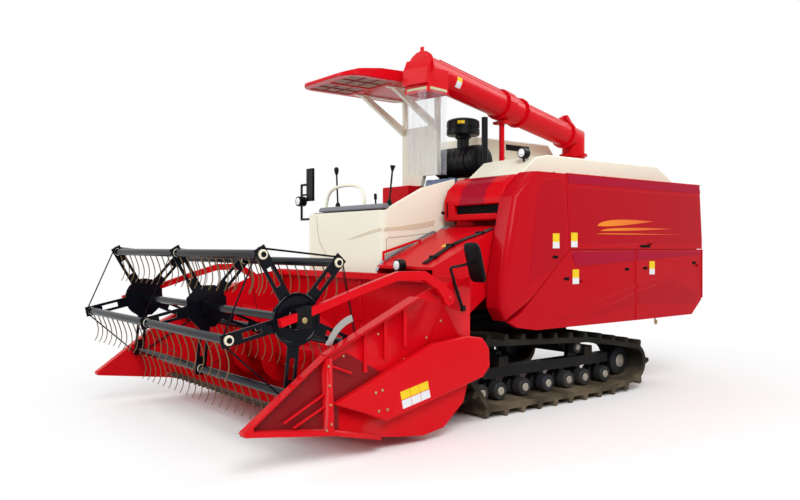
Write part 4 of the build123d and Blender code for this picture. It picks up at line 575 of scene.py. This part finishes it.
def sewn_pad(name, low, high, lean, channels, node):
    """A stuffed pad: a block remeshed, swollen as cloth by inner pressure and pressed in along its seams."""
    low, high = np.array(low), np.array(high)
    corners, quads = block(low, high)
    rise = (corners[:, 2] - low[2]) / (high[2] - low[2])
    corners[:, 0] += lean * rise * (corners[:, 0] > (low[0] + high[0]) / 2)
    mesh = bpy.data.meshes.new(name)
    mesh.from_pydata(corners, [], quads)
    shape = bmesh.new()
    shape.from_mesh(mesh)
    bmesh.ops.recalc_face_normals(shape, faces=shape.faces)
    bmesh.ops.bevel(shape, geom=shape.edges[:], offset=0.018, segments=3, affect="EDGES", profile=0.6)
    shape.to_mesh(mesh)
    shape.free()
    pad = bpy.data.objects.new(name, mesh)
    bpy.context.scene.collection.objects.link(pad)
    remesh = pad.modifiers.new("even", "REMESH")
    remesh.mode = "VOXEL"
    remesh.voxel_size = VOXEL
    bpy.context.view_layer.objects.active = pad
    pad.select_set(True)
    bpy.ops.object.modifier_apply(modifier="even")
    rest = read_points(pad.data, "co")
    moved = rest.copy()
    cloth = pad.modifiers.new("stuffing", "CLOTH")
    cloth.settings.use_pressure = True
    cloth.settings.uniform_pressure_force = 4.0
    cloth.settings.effector_weights.gravity = 0.0
    for step in range(1, 21):
        bpy.context.scene.frame_set(step)
    bpy.ops.object.modifier_apply(modifier="stuffing")
    moved = read_points(pad.data, "co")
    bpy.context.scene.frame_set(1)
    push = moved - rest
    reach = np.linalg.norm(push, axis=1, keepdims=True)
    moved = rest + push * np.minimum(1.0, SWELL / np.maximum(reach, 1e-9))
    moved[:, 2] = np.maximum(moved[:, 2], low[2] - 0.0002)
    across = (moved[:, 1] - low[1]) / (high[1] - low[1]) * channels
    seam = np.round(across)
    dip = np.exp(-((across - seam) / SEAM_WIDTH) ** 2) * (seam > 0) * (seam < channels)
    moved -= read_points(pad.data, "normal") * (SEAM_DEPTH * dip)[:, None]
    pad.data.vertices.foreach_set("co", moved.reshape(-1))
    pad.data.materials.append(seat_vinyl)
    pad.data.polygons.foreach_set("use_smooth", np.ones(len(pad.data.polygons), bool))
    pad.data.update()
    smooth = pad.modifiers.new("smooth", "SUBSURF")
    smooth.levels = smooth.render_levels = 1
    pad.select_set(False)
    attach(pad, "root")
    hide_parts(node)


seat_vinyl = finish("seat_vinyl", (0.10, 0.15, 0.25), 0.42, dust=0.1, ripple=0.8, ripple_scale=900.0,
                    bump=0.12)
sewn_pad("seat_cushion_pad", (0.237, -0.578, 1.2905), (0.638, -0.202, 1.398), 0.0, 4, "seat_cushion")
sewn_pad("seat_back_pad", (0.072, -0.578, 1.4205), (0.200, -0.202, 1.848), -0.052, 4, "seat_back")

# -------------------------------- levers, rail and mirrors
# Steel lever rods in rubber bellows with moulded grips, a bent rail in cream enamel round the console's
# top, and mirrors and lamps with moulded black backs on bent steel loops.
CONSOLE_TOP = 1.5303
bellows = [(0, 0.036)] + [(0.008 + 0.0085 * k, 0.034 - 0.0022 * k + 0.003 * (k % 2)) for k in range(9)]
bellows += [(0.088, 0.012)]
tall = [(0, 0.011), (0.02, 0.017), (0.045, 0.021), (0.058, 0.018), (0.066, 0.008)]
funnel = [(0, 0.010), (0.015, 0.014), (0.035, 0.021), (0.043, 0.022), (0.043, 0.008)]
levers = []
for foot, top, grip in (((0.930, -0.820, CONSOLE_TOP), (0.946, -0.820, 1.860), tall),
                        ((0.890, -0.150, CONSOLE_TOP), (0.852, -0.150, 1.848), funnel)):
    way = np.subtract(top, foot)
    levers.append(turned(bellows, foot, way, 20))
    levers.append(turned([(0, 0.0075), (np.linalg.norm(way), 0.0075)], foot, way, 12))
    levers.append(turned(grip, top, way, 20))
stick = [(0, 0.02), (0.012, 0.018), (0.02, 0.007), (0.085, 0.007), (0.09, 0.013), (0.13, 0.012),
         (0.135, 0.006)]
levers.append(turned(stick, (0.95, -0.24, CONSOLE_TOP), (0.05, 0, 1), 16))
key_knob = [(0, 0.026), (0.01, 0.026), (0.02, 0.016), (0.03, 0.014)]
levers.append(turned(key_knob, (0.95, -0.48, CONSOLE_TOP), (0, 0, 1), 16))
piece("control_levers_set", levers, black_plastic, "root", ["control_levers"])
rail = [(1.0, y, z) for y, z in ((-0.9, CONSOLE_TOP), (-0.9, 1.64), (-0.8, 1.75), (-0.4, 1.75), (-0.33, 1.64),
                                 (-0.33, CONSOLE_TOP))]
piece("grab_rail", [bar(softened(rail), 0.0135, 12, (1.0, 0.0, 0.0))], cream_enamel, "root")
skin(black_plastic, 0.004, "cab_mirror", "header_lamp", "work_lamp")
SIDE_SHEET, STALK_R, MIRROR_TILT = 0.006, 0.0095, radians(74.0)
HEADER_SIDES = (("left", 1, 1.055), ("right", -1, -1.365))  # name, way out, and the face's place across
stalk_y = HEADER_SIDES[0][2] + SIDE_SHEET + 0.0003 + STALK_R
stalk = softened([(1.210, stalk_y, 0.818), (1.322, stalk_y, 1.085), (1.318, stalk_y, 1.102),
                  (1.240, stalk_y - 0.002, 1.108), (1.110, stalk_y - 0.016, 1.130)], 2)
t = np.arange(32) * 2 * pi / 32
c, s = np.cos(t), np.sin(t)
oval = np.stack([0.075 * np.sign(c) * abs(c) ** 0.35, 0.140 * np.sign(s) * abs(s) ** 0.35], 1)
glass_up = np.array([cos(MIRROR_TILT), 0.0, sin(MIRROR_TILT)])
glass_back = np.array([sin(MIRROR_TILT), 0.0, -cos(MIRROR_TILT)])
glass_middle = np.array([1.080, stalk_y - 0.020, 1.130])
rings = [glass_middle + size * (oval[:, :1] * (0, 1, 0) + oval[:, 1:] * glass_up) + depth * glass_back
         for depth, size in ((-0.004, 0.90), (-0.002, 0.97), (0.004, 1.0), (0.014, 0.96), (0.022, 0.80),
                             (0.024, 0.40))]
foot = block((1.198, stalk_y - 0.0085, 0.812), (1.226, stalk_y + 0.012, 0.850))
piece("header_mirror_shell", [grid(np.stack(rings)), bar(stalk, STALK_R, 10), foot], black_plastic, "header",
      ["header_mirror"])
lens, lens_tree, lens_shader, lens_place = fresh_material(
    "lamp_lens", {"Roughness": 0.08, "Coat Weight": 0.6})
flutes = shader_node(lens_tree, "ShaderNodeTexWave", {"Vector": lens_place, "Scale": 60.0, "Distortion": 0.5},
                     bands_direction="Y").outputs[1]
lens_colour = mix_colour(lens_tree, flutes, (0.80, 0.82, 0.84, 1.0), (0.62, 0.64, 0.67, 1.0))
lens_tree.links.new(lens_colour, lens_shader.inputs["Base Color"])
relief(lens_tree, lens_shader, flutes, 0.3, 0.001)
glass = [(0, 0.034), (0.003, 0.033), (0.006, 0.026), (0.008, 0.010)]
for name, foot, body in (("cab", (1.1095, -1.200, 1.640), "root"), ("work", (0.1445, 0.600, 1.975), "root"),
                         ("header", (1.2495, 0.410, 1.100), "header")):
    piece(f"{name}_lamp_lens", [turned(glass, foot, (1, 0, 0), 28)], lens, body)

# -------------------------------- canopy
# A double-skinned roof pressed from sheet, red outside, carried by a cream pillar and two struts; its
# underside has two recessed panels with stiffening ribs.
skin(red_enamel, 0.020, "canopy")
skin(cream_enamel, 0.0, "canopy_posts")
# the brown panels under the roof keep their lining's own brown, darkened as painted shade under the canopy
lining = finish("roof_lining_shaded", (0.34, 0.20, 0.145), 0.5, dust=0.0, gloss=0.1)
# the ribs under the roof take a darker copy of the red enamel: painted shade under the canopy
rib_shade_red = finish("red_enamel_underside_painted_shade", (0.26, 0.006, 0.010), 0.4, dust=0.0, gloss=0.1)
panels, under = [], []
for y0, y1 in ((-0.944, -0.676), (-0.624, -0.291)):
    panels.append(block((0.736, y0, 2.6090), (1.134, y1, 2.6139)))
    under += [block((x, y0 + 0.01, 2.6030), (x + 0.014, y1 - 0.01, 2.6095)) for x in (0.860, 0.990)]
    middle = (y0 + y1) / 2
    under.append(block((0.745, middle - 0.007, 2.6020), (1.125, middle + 0.007, 2.6095)))
piece("canopy_lining", panels, lining, "root")
piece("canopy_ribs", under, rib_shade_red, "root", (), 0.002)

# -------------------------------- unloading tube
# A rolled steel tube with welded flanges swings on a turntable above the upright column and lifts on a
# hinge; a folded hood at its end turns the grain down. Gloss red enamel on all of it.
skin(red_enamel, 0.003, "boom_rest", "unloader_column", "unloader_elbow")
skin(red_enamel, 0.005, "outlet_hood")
skin(red_enamel, 0.003, "unloader_boom")
tube_foot = np.array([-1.66, -0.34, 2.345])
tube_tip = np.array([0.72, 0.04, 2.665])
tube_way = (tube_tip - tube_foot) / np.linalg.norm(tube_tip - tube_foot)
tube_side = np.array([-tube_way[1], tube_way[0], 0.0]) / np.hypot(tube_way[0], tube_way[1])
tube_up = np.cross(tube_way, tube_side)
# a foil plate round the tube: foot + s * way + r * (cos t * side + sin t * up), white below and yellow above
foil_s = np.linspace(2.030, 2.095, 4)[:, None, None]
foil_t = np.radians(np.linspace(-36.0, 6.0, 12))[:, None]
foil = tube_foot + foil_s * tube_way + 0.1208 * (np.cos(foil_t) * tube_side + np.sin(foil_t) * tube_up)
piece("plate_tube_lower", [grid(foil[:, :8], False, False)], plate_white, "unloader_boom")
piece("plate_tube_upper", [grid(foil[:, 7:], False, False)], plate_yellow, "unloader_boom")

# -------------------------------- outlet curtain
# A sleeve of clear soft sheet hangs from the outlet's rim under a pale hem; it hangs in upright folds,
# drawn in a little towards its foot, and is streaked by the grain's dust.
curtain_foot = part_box("outlet_curtain")[0][2] + 0.0005
curtain_top = 2.480
level_way = np.array([tube_way[0], tube_way[1], 0.0]) / np.hypot(tube_way[0], tube_way[1])
sleeve_middle = tube_tip - tube_way * 0.085
SLEEVE_HALF = 0.1290


def sleeve_grid(top, foot, rows, columns, folds):
    """A hanging sleeve, v from top to foot and t round it: a rounded square, drawn in by folds * v times one
    half plus half of cos(11 t + 2 v), and by half of folds * v times one half plus half of cos(5 t - 3 v)."""
    v, t = np.meshgrid(np.linspace(0, 1, rows), np.arange(columns) * 2 * pi / columns, indexing="ij")
    c, s = np.cos(t), np.sin(t)
    square = SLEEVE_HALF * np.minimum(1.0 / np.maximum(abs(c), abs(s)), 1.27)
    wide, narrow = 0.5 + 0.5 * np.cos(11 * t + 2 * v), 0.5 + 0.5 * np.cos(5 * t - 3 * v)
    radius = square - folds * v * wide - 0.5 * folds * v * narrow
    place = sleeve_middle + radius[..., None] * (c[..., None] * level_way + s[..., None] * tube_side)
    place[..., 2] = top + (foot - top) * v
    return grid(place, True, False)


clear_sheet, sheet_tree, sheet_shader, sheet_place = fresh_material(
    "clear_sheet", {"Base Color": (0.50, 0.54, 0.60, 1.0), "Roughness": 0.10})
sheet_stretch = shader_node(sheet_tree, "ShaderNodeMapping",
                            {"Vector": sheet_place, "Scale": (9.0, 9.0, 0.7)})
streaks = shader_node(sheet_tree, "ShaderNodeTexNoise", {
    "Vector": sheet_stretch.outputs[0], "Scale": 3.0, "Detail": 4.0}).outputs[0]
veil = math_node(sheet_tree, "MULTIPLY", math_node(sheet_tree, "SUBTRACT", streaks, 0.42), 2.2, clamp=True)
veil = math_node(sheet_tree, "ADD", math_node(sheet_tree, "MULTIPLY", veil, 0.34), 0.10)
sheet_tree.links.new(veil, sheet_shader.inputs["Alpha"])
hem_vinyl = finish("curtain_hem", (0.52, 0.52, 0.30), 0.4, dust=0.03, gloss=0.2)
curtain = piece("clear_curtain", [sleeve_grid(curtain_top, curtain_foot, 40, 160, 0.016)], clear_sheet,
                "unloader_boom", ["outlet_curtain"])
hem = piece("curtain_hem", [sleeve_grid(curtain_top + 0.018, curtain_top - 0.002, 3, 80, 0.0)], hem_vinyl,
            "unloader_boom")

# -------------------------------- feeder house
# A welded sheet box carries the crop up from the header; rubber hoses for the header's cylinders are
# clipped along its left edge, and a bent steel rail runs along its right.
skin(red_enamel, 0.004, "feeder_house")


def feeder_top(x):
    """The height of the feeder's sloping top sheet: a straight fall of 0.4434 for each metre forward."""
    return 1.381 - (x - 0.512) * 0.4434


hose_rubber = finish("hose_rubber", (0.005, 0.005, 0.005), 0.4, dust=0.1, low=0.5, gloss=0.25, ripple=0.5)
# the hoses run down the feeder's left edge and swing in towards its middle before they meet the header
edge_x = np.array([0.560, 0.580, 0.610, 0.650, 0.700, 0.760, 0.850, 0.940, 1.040, 1.130])
edge_y = np.array([0.700, 0.695, 0.680, 0.655, 0.620, 0.580, 0.565, 0.575, 0.590, 0.600])
hoses = []
for k, radius in enumerate((0.0085, 0.0065, 0.0065)):
    route = np.stack([edge_x, edge_y - 0.018 * k, feeder_top(edge_x) + radius + 0.003], 1)
    hoses.append(bar(softened(route), radius, 8, (0.3, 1.0, 0.0)))
piece("feeder_hoses", hoses, hose_rubber, "header")
clips = []
for x, y in ((0.640, 0.640), (0.850, 0.545), (1.040, 0.575)):
    clips.append(block((x - 0.010, y - 0.040, feeder_top(x)), (x + 0.010, y + 0.040, feeder_top(x) + 0.026)))
piece("hose_clips", clips, beam_paint, "header", (), 0.003)
rail_grey = finish("rail_grey", (0.20, 0.24, 0.28), 0.35, dust=0.1, metallic=0.3, gloss=0.3)
hand_rail = softened([(0.600, 0.085, 1.352), (0.640, 0.085, 1.350), (1.080, 0.085, 1.155),
                      (1.150, 0.085, 1.100), (1.185, 0.085, 1.050)], 2)
piece("feeder_hand_rail", [bar(hand_rail, 0.010, 10)], rail_grey, "header")
slope, rise = np.array([0.9142, 0.0, -0.4054]), np.array([0.4054, 0.0, 0.9142])
for name, x, y, along, across, material in (
    ("grey", 0.490, 0.095, 0.065, 0.075, grey_plastic), ("yellow", 0.822, 0.455, 0.055, 0.040, plate_yellow),
    ("white", 0.847, 0.502, 0.055, 0.040, plate_white),
):
    u, v = np.array([(-0.5, -0.5), (0.5, -0.5), (0.5, 0.5), (-0.5, 0.5)]).T[:, :, None]
    rim = np.array([x, y, feeder_top(x)]) + u * along * slope + v * across * np.array([0.0, 1.0, 0.0])
    foil = grid(np.stack([rim - rise * 0.001, rim + rise * 0.0012]))
    piece(f"plate_feeder_{name}", [foil], material, "header")

# -------------------------------- header trough, auger and knife
# A rolled trough of red sheet holds the auger, a tube with wound flights and feeder fingers; the knife
# runs in forged guards along the front edge, dark with sap and wear.
guard_steel = finish("guard_steel", (0.045, 0.035, 0.028), 0.42, dust=0.5, low=0.6, metallic=0.5)
bare_steel = finish("worn_steel", (0.42, 0.41, 0.39), 0.30, dust=0.12, metallic=0.9, ripple=0.3, bump=0.1)
skin(red_enamel, 0.002, "header_trough")
skin(red_enamel, 0.0, "header_auger", slot="red_paint")
skin(guard_steel, 0.002, "knife_bar")
stiffeners = [block((1.1745, y, 0.66), (1.1840, y + 0.030, 0.975))
              for y in (-1.20, -0.85, -0.50, -0.15, 0.86)]
piece("back_stiffeners", stiffeners, red_enamel, "header", (), 0.003)

# -------------------------------- header sides and dividers
# Flanged sheet ends close the header; in front of them dividers of folded sheet and round bar part the
# crop. The left one also carries the drive's chain cover, with its blank plate.
skin(red_enamel, 0.0, "header_side_left", "header_side_right")
skin(red_enamel, 0.014, "chain_cover")
COVER_FACE = 1.120
# a very dark red, used only as painted shade inside the dividers
cavity_shade_red = finish("red_enamel_cavity_painted_shade", (0.20, 0.002, 0.006), 0.35, dust=0.1, gloss=0.12)
for name, side, y in HEADER_SIDES:
    outer = y + side * 0.030
    braces = [bar([(x0, outer, z0), (x1, outer, z1)], radius, 8) for x0, z0, x1, z1, radius in (
        (2.560, 0.270, 2.296, 0.400, 0.008), (2.500, 0.235, 2.292, 0.330, 0.008),
        (2.262, 0.560, 2.110, 0.500, 0.007))]
    for x, z in ((2.000, 0.640), (1.850, 0.705), (1.700, 0.770)):
        near, far = sorted((y + side * SIDE_SHEET, y + side * 0.020))
        braces.append(block((x - 0.012, near, z - 0.150), (x + 0.012, far, z + 0.09)))
    top = np.array([(2.300, y, 0.6215), (2.300, y + side * 0.060, 0.6215), (1.615, y + side * 0.062, 0.9200),
                    (1.615, y - side * 0.045, 0.9200)])
    braces.append(grid(np.stack([top, top + (0.0015, 0.0, 0.0035)])))
    piece(f"divider_braces_{name}", braces, red_enamel, "header", (), 0.0015)
    sheet = y + side * 0.0062
    nose = [(2.788, 0.258), (2.306, 0.609), (2.262, 0.562), (2.245, 0.176)]
    gusset = slab(nose, 1, *sorted((y + side * 0.0006, y + side * 0.0054)))
    piece(f"divider_nose_{name}", [gusset], red_enamel, "header")
    # dark red plates laid on the sheet in the divider's nose and in the cavity behind its post: painted shade
    cavity = [(2.248, 0.200), (2.262, 0.560), (2.130, 0.618), (1.880, 0.480), (2.190, 0.340), (2.180, 0.176)]
    hollow_shade_plates = [slab(outline, 1, *sorted((sheet, sheet + side * 0.0012))) for outline in (nose, cavity)]
    piece(f"divider_painted_shade_{name}", hollow_shade_plates, cavity_shade_red, "header")
bolts = [bolt_head(0.009, x, COVER_FACE - 0.0005, z)
         for x, z in ((1.960, 0.373), (1.911, 0.382), (1.937, 0.262), (1.873, 0.262))]
bolts += [bolt_head(0.007, x, 1.1145, z)
          for x, z in ((2.268, 0.230), (2.274, 0.340), (2.280, 0.450), (2.288, 0.560), (2.300, 0.200))]
bolts += [bolt_head(0.007, x, 1.0605, z)
          for x, z in ((2.15, 0.60), (1.90, 0.71), (1.70, 0.54), (1.52, 0.66), (1.40, 0.76))]
piece("header_bolts", bolts, bolt_steel, "header")
tilt = np.array([(-0.2220, 0.0450), (-0.0230, -0.1050)])
corner = np.array([1.778, 0.355])
for k in range(3):
    for name, low, high, material in (("upper", 0.0, 0.48, plate_yellow), ("lower", 0.52, 1.0, plate_white)):
        u0, u1 = (k + 0.02) / 3, (k + 0.98) / 3
        outline = [corner + tilt[0] * u + tilt[1] * v
                   for u, v in ((u0, low), (u1, low), (u1, high), (u0, high))]
        foil = slab(outline, 1, COVER_FACE - 0.002, COVER_FACE + 0.0008)
        piece(f"plate_cover_{k}_{name}", [foil], material, "header")
arc = np.radians(np.linspace(20.0, 75.0, 16))
rim_out, rim_in = [np.stack([2.02 + r * np.cos(arc), 0.585 + r * np.sin(arc)], 1) for r in (0.26, 0.22)]
arc_plate = slab(np.concatenate([rim_out, rim_in[::-1]]), 1, 1.0490, 1.0548)
piece("side_arc_plate", [arc_plate], bare_steel, "header")

# -------------------------------- reel arms and reel
# Two arched arms carry the reel: three slotted spiders on a tube shaft, five turning tubes with spring
# tines between them, and thin stay wires from tube to tube. Black enamel, with bare spring wire tines.
reel_black = finish("reel_enamel", (0.003, 0.004, 0.007), 0.14, dust=0.03, low=0.5, gloss=0.10)
tine_wire = finish("tine_wire", (0.19, 0.12, 0.055), 0.38, dust=0.1, metallic=0.3, gloss=0.3)
bushing = finish("bushing_nylon", (0.72, 0.66, 0.50), 0.45, dust=0.1)
skin(red_enamel, 0.005, "reel_arm_left", "reel_arm_right")
skin(reel_black, 0.0015, "reel_frame")
skin(bare_steel, 0.002, "reel_stubs")
REEL_X, REEL_Z, REEL_R = 2.450, 0.830, 0.420
REEL_LEFT, REEL_RIGHT = 1.030, -1.330
SPIDERS = (REEL_LEFT, (REEL_LEFT + REEL_RIGHT) / 2, REEL_RIGHT)
hub = [(0, 0.150), (0.010, 0.150), (0.013, 0.145), (0.010, 0.136), (0.004, 0.130), (0.004, 0.070)]
hubs = [turned(hub, (REEL_X, y, REEL_Z), (0, way, 0), 40)
        for y, way in ((REEL_LEFT + 0.005, 1), (REEL_RIGHT - 0.005, -1))]
hubs.append(turned([(0, 0.060), (0.05, 0.056), (0.05, 0.030)], (REEL_X, SPIDERS[1] + 0.005, REEL_Z),
                   (0, 1, 0), 28))
bat_turns = np.radians(60.0 + 72.0 * np.arange(5))
rims, tips = [np.stack([REEL_X + r * np.cos(bat_turns), REEL_Z + r * np.sin(bat_turns)], 1)
              for r in (REEL_R, REEL_R + 0.038)]
stays = []
for y in SPIDERS:
    for (x0, z0), (x1, z1) in zip(tips, np.roll(tips, -1, axis=0)):
        stays.append(bar([(x0, y - 0.012, z0), (x1, y - 0.012, z1)], 0.0025, 6))
piece("reel_hubs", hubs + stays, reel_black, "reel")
blocks = [slab([(2.402, 0.782), (2.498, 0.782), (2.498, 0.891), (2.402, 0.911)], 1, y0, y1)
          for y0, y1 in ((1.0555, 1.1275), (-1.4375, -1.3655))]
piece("bearing_blocks", blocks, black_plastic, "reel_arms", (), 0.006)
ends = [turned([(0, 0.017), (0.004, 0.017), (0.007, 0.012)], (REEL_X, y, REEL_Z), (0, side, 0), 12)
        for y, side in ((1.1238, 1), (-1.4338, -1))]
piece("bearing_bolts", ends, bolt_steel, "reel_arms")

TINE_PITCH = 0.107
tine_count = int((REEL_LEFT - REEL_RIGHT) / TINE_PITCH)
tine_first = REEL_RIGHT + ((REEL_LEFT - REEL_RIGHT) - (tine_count - 1) * TINE_PITCH) / 2
tine_ys = tine_first + TINE_PITCH * np.arange(tine_count)
tine_ys = tine_ys[np.min(abs(tine_ys[:, None] - np.array(SPIDERS)), axis=1) > 0.010]
# a tine hangs 0.2 m down from its tube and bends back, by a sine and then a fourth power of s
s = np.linspace(0.0, 1.0, 9)
tine_back = -0.020 * s - 0.026 * np.sin(2.4 * s) + 0.030 * s ** 4
tine_path = np.stack([tine_back, np.zeros(9), -0.024 - 0.200 * s], 1)
TUBE_R = 0.0262
tube = [(0, TUBE_R), (2.370, TUBE_R), (2.3725, 0.024), (2.3725, 0.020)]
end_cap = [(0, 0.016), (0.0030, 0.016), (0.0045, 0.010)]
collar = [(0, 0.0275), (0.010, 0.0275), (0.0125, 0.024), (0.0125, 0.017)]
for k, (x, z) in enumerate(rims):
    middle = np.array([x, 0.0, z])
    body = f"bat_{k + 1}"
    forms = [turned(tube, (x, REEL_RIGHT - 0.009, z), (0, 1, 0), 28),
             turned(end_cap, (x, REEL_LEFT + 0.0190, z), (0, 1, 0), 16)]
    piece(f"bat_tube_{k + 1}", forms, reel_black, body, [f"reel_bat_{k + 1}"])
    tines = [bar(middle + tine_path + (0, y, 0), np.linspace(0.0042, 0.0030, 9), 5) for y in tine_ys]
    piece(f"tines_{k + 1}", tines, tine_wire, body)
    collars = [turned(collar, (x, y, z), (0, 1, 0), 20) for y in (REEL_LEFT + 0.0065, SPIDERS[1] + 0.006)]
    piece(f"bushings_{k + 1}", collars, bushing, body)

# -------------------------------- lift cylinder
# A hydraulic ram between the chassis and the feeder's underside lifts the header: a painted barrel and a
# chromed rod, each held by a pin.
skin(beam_paint, 0.003, "lift_barrel")
skin(bare_steel, 0.002, "lift_rod")

# -------------------------------- floor, lights and camera
# A pale seamless floor that fades into a white surround, a large soft key light from the front left, and
# weaker lights from the right and from behind.
FLOOR_HALF = 60.0
floor_mesh = bpy.data.meshes.new("studio_floor")
floor_corners = [(x * FLOOR_HALF, y * FLOOR_HALF, 0) for x, y in ((-1, -1), (1, -1), (1, 1), (-1, 1))]
floor_mesh.from_pydata(floor_corners, [], [(0, 1, 2, 3)])
floor = bpy.data.objects.new("studio_floor", floor_mesh)
bpy.context.scene.collection.objects.link(floor)


def ray_to_eye(tree):
    """One for the camera's own rays and for those that metal and glass send on, otherwise nought."""
    ray = shader_node(tree, "ShaderNodeLightPath").outputs
    sent_on = math_node(tree, "MAXIMUM", ray["Is Glossy Ray"], ray["Is Transmission Ray"])
    return math_node(tree, "MAXIMUM", ray["Is Camera Ray"], sent_on)


floor_paint, floor_tree, floor_shader, floor_place = fresh_material("studio_floor", {
    "Base Color": (0.90, 0.90, 0.90, 1.0), "Roughness": 0.9, "Specular IOR Level": 0.0})
away = shader_node(floor_tree, "ShaderNodeVectorMath", {0: floor_place}, operation="LENGTH").outputs["Value"]
fade = math_node(floor_tree, "DIVIDE", math_node(floor_tree, "SUBTRACT", away, 2.0), 2.6, clamp=True)
fade = math_node(floor_tree, "MULTIPLY", fade, ray_to_eye(floor_tree))
white = shader_node(floor_tree, "ShaderNodeEmission", {"Color": (1.0, 1.0, 1.0, 1.0), "Strength": 1.0})
blend = shader_node(floor_tree, "ShaderNodeMixShader",
                    {0: fade, 1: floor_shader.outputs[0], 2: white.outputs[0]})
floor_tree.links.new(blend.outputs[0], floor_tree.nodes["Material Output"].inputs["Surface"])
floor_mesh.materials.append(floor_paint)

AMBIENT = 0.42  # the surround's strength as a lamp; where it is seen it is plain white
world = bpy.data.worlds.new("studio_world")
bpy.context.scene.world = world
world.use_nodes = True
world_tree = world.node_tree
backdrop = world_tree.nodes["Background"]
backdrop.inputs["Color"].default_value = (1.0, 1.0, 1.0, 1.0)
strength = math_node(world_tree, "MULTIPLY", ray_to_eye(world_tree), 1.0 - AMBIENT)
world_tree.links.new(math_node(world_tree, "ADD", strength, AMBIENT), backdrop.inputs["Strength"])


def area_light(name, place, target, size, power):
    """A square soft box at a place, aimed at a target."""
    data = bpy.data.lights.new(name, "AREA")
    data.size = size
    data.energy = power
    lamp = bpy.data.objects.new(name, data)
    bpy.context.scene.collection.objects.link(lamp)
    lamp.location = place
    lamp.rotation_euler = (Vector(target) - Vector(place)).to_track_quat("-Z", "Y").to_euler()


area_light("key_light", (4.5, 7.5, 7.5), (0.3, 0.0, 1.2), 5.0, 760.0)
area_light("fill_light", (6.5, -3.5, 4.0), (0.5, 0.0, 1.2), 4.0, 200.0)
area_light("rim_light", (-6.0, 2.0, 6.5), (0.0, 0.0, 1.5), 4.0, 260.0)

camera_data = bpy.data.cameras.new("camera")
camera_data.sensor_width = 36.0
camera_data.lens = 34.35
camera_data.clip_end = 200.0
camera = bpy.data.objects.new("camera", camera_data)
bpy.context.scene.collection.objects.link(camera)
bpy.context.scene.camera = camera
HEADING, PITCH = 0.6694, -0.005  # radians: turn from looking along -Y towards -X, and tilt upwards
camera.location = (4.6395, 4.7368, 1.2381)
view_way = Vector((-sin(HEADING) * cos(PITCH), -cos(HEADING) * cos(PITCH), sin(PITCH)))
camera.rotation_euler = view_way.to_track_quat("-Z", "Y").to_euler()
bpy.context.scene.view_settings.view_transform = "Standard"
